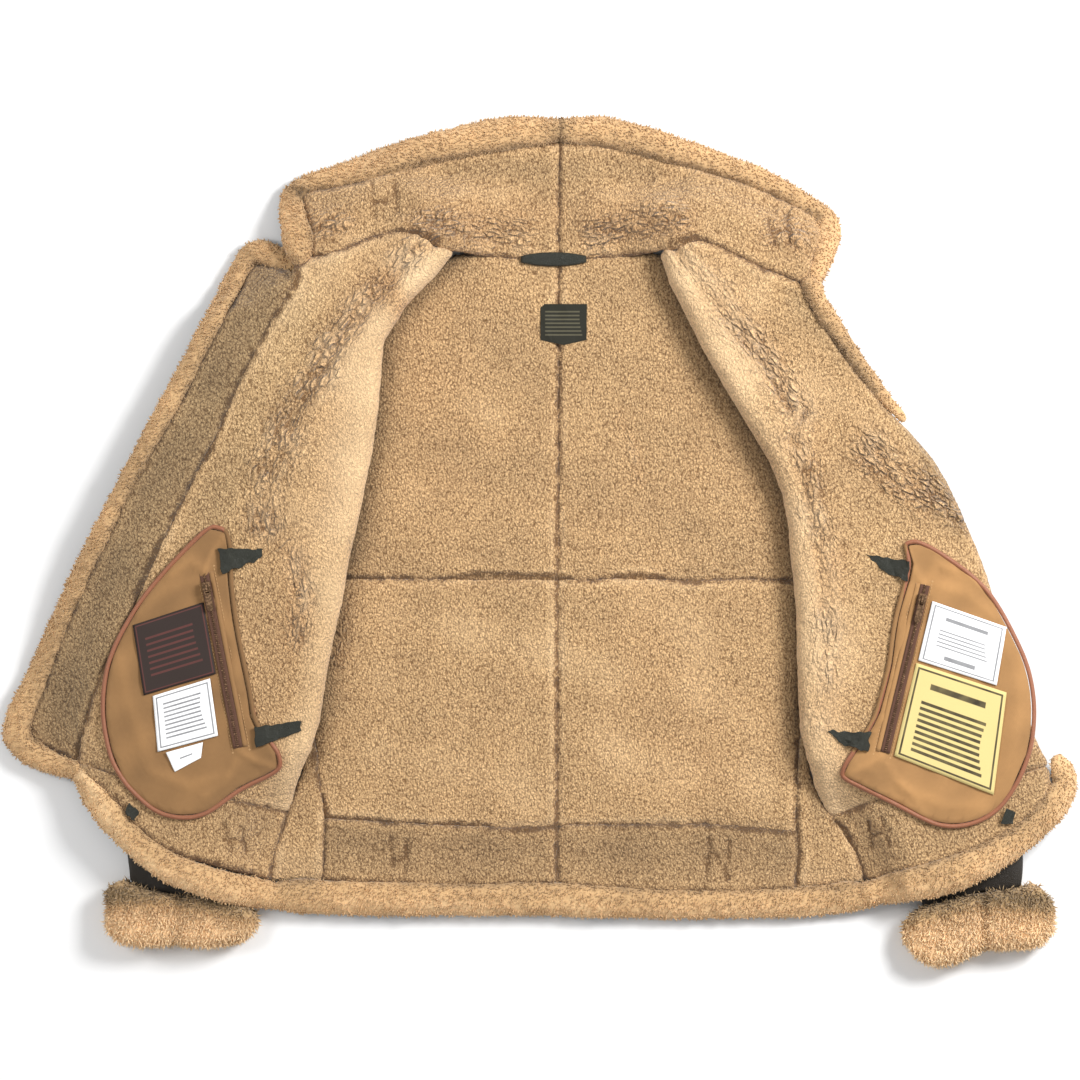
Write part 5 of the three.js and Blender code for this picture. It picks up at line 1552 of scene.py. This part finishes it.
def operator(short, label, words, maker, names=None):
    """An operator class that makes one group of pieces, each by its name, or the one thing of its kind."""

    def execute(self, context):
        settings = context.scene.coat
        if names is None:
            maker(settings)
        else:
            for name in names:
                maker(name, settings)
        return {"FINISHED"}

    facts = {"bl_idname": "coat." + short, "bl_label": label, "bl_options": {"REGISTER", "UNDO"},
             "__doc__": words, "execute": execute}
    return type("COAT_OT_" + short, (bpy.types.Operator,), facts)


def wool_operator(short, label, words, *starts):
    """An operator for the wool nodes that are named by their first letters."""
    return operator(short, label, words, wool_piece, [name for name in CUTS if runs_on(name, starts)])


OPERATORS = [
    operator("stage", "Stage", "Sets the floor, lights and camera", stage),
    wool_operator("back", "Back", "Makes the back, gussets and back hem band in wool",
                  "back_", "gusset", "hem_band"),
    wool_operator("fronts", "Fronts", "Makes the two fronts in wool",
                  "front_left", "front_right", "front_hem", "wind_flap"),
    wool_operator("collar", "Collar", "Makes the two halves of the collar in wool", *COLLAR_NODES),
    wool_operator("rolls", "Rolled edges", "Makes the rolled edges in wool", *ROLLS),
    wool_operator("cuffs", "Cuffs", "Makes the cuffs in wool", "cuff"),
    operator("locks", "Wool locks", "Stands locks of wool on the rolls and cuffs", lock_group, LOCK_GROUPS),
    operator("sleeves", "Sleeves", "Makes the sleeves in dark hide", leather_piece, SLEEVES),
    operator("bags", "Pocket bags", "Makes the twill pocket bags", bag, SIDES),
    operator("piping", "Piping", "Makes the corded edges of the bags", piping, SIDES),
    operator("zips", "Zips", "Makes the zips with their teeth and welts", zip_pieces, SIDES),
    operator("labels", "Labels", "Makes the bare labels on the bags", label_piece, LABELS),
    operator("tabs", "Tabs", "Makes the dark hide tabs and patches", tab_piece, TABS + PATCHES),
    operator("neck", "Neck", "Makes the neck label and hanger loop", neck_pieces),
    operator("metal", "Metal", "Gives the sliders and pulls their brass", metal_nodes),
]


class COAT_PT_sidebar(bpy.types.Panel):
    """Lists the coat's makers."""

    bl_label = "Shearling coat"
    bl_idname = "COAT_PT_sidebar"
    bl_space_type = "VIEW_3D"
    bl_region_type = "UI"
    bl_category = "Coat"

    def draw(self, context):
        for one in OPERATORS:
            self.layout.operator(one.bl_idname)
        for name in CoatSettings.__annotations__:
            self.layout.prop(context.scene.coat, name)


CLASSES = [CoatSettings, *OPERATORS, COAT_PT_sidebar]


def register():
    for one in CLASSES:
        bpy.utils.register_class(one)
    bpy.types.Scene.coat = PointerProperty(type=CoatSettings)


def unregister():
    del bpy.types.Scene.coat
    for one in reversed(CLASSES):
        bpy.utils.unregister_class(one)


def main():
    register()
    for one in OPERATORS:
        getattr(bpy.ops.coat, one.bl_idname.split(".")[1])()
    boxes = {"cad": cad_box, "visual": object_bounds()}
    plain = {name: [list(corner) for corner in box] for name, box in boxes.items()}


if __name__ == "__main__":
    main()
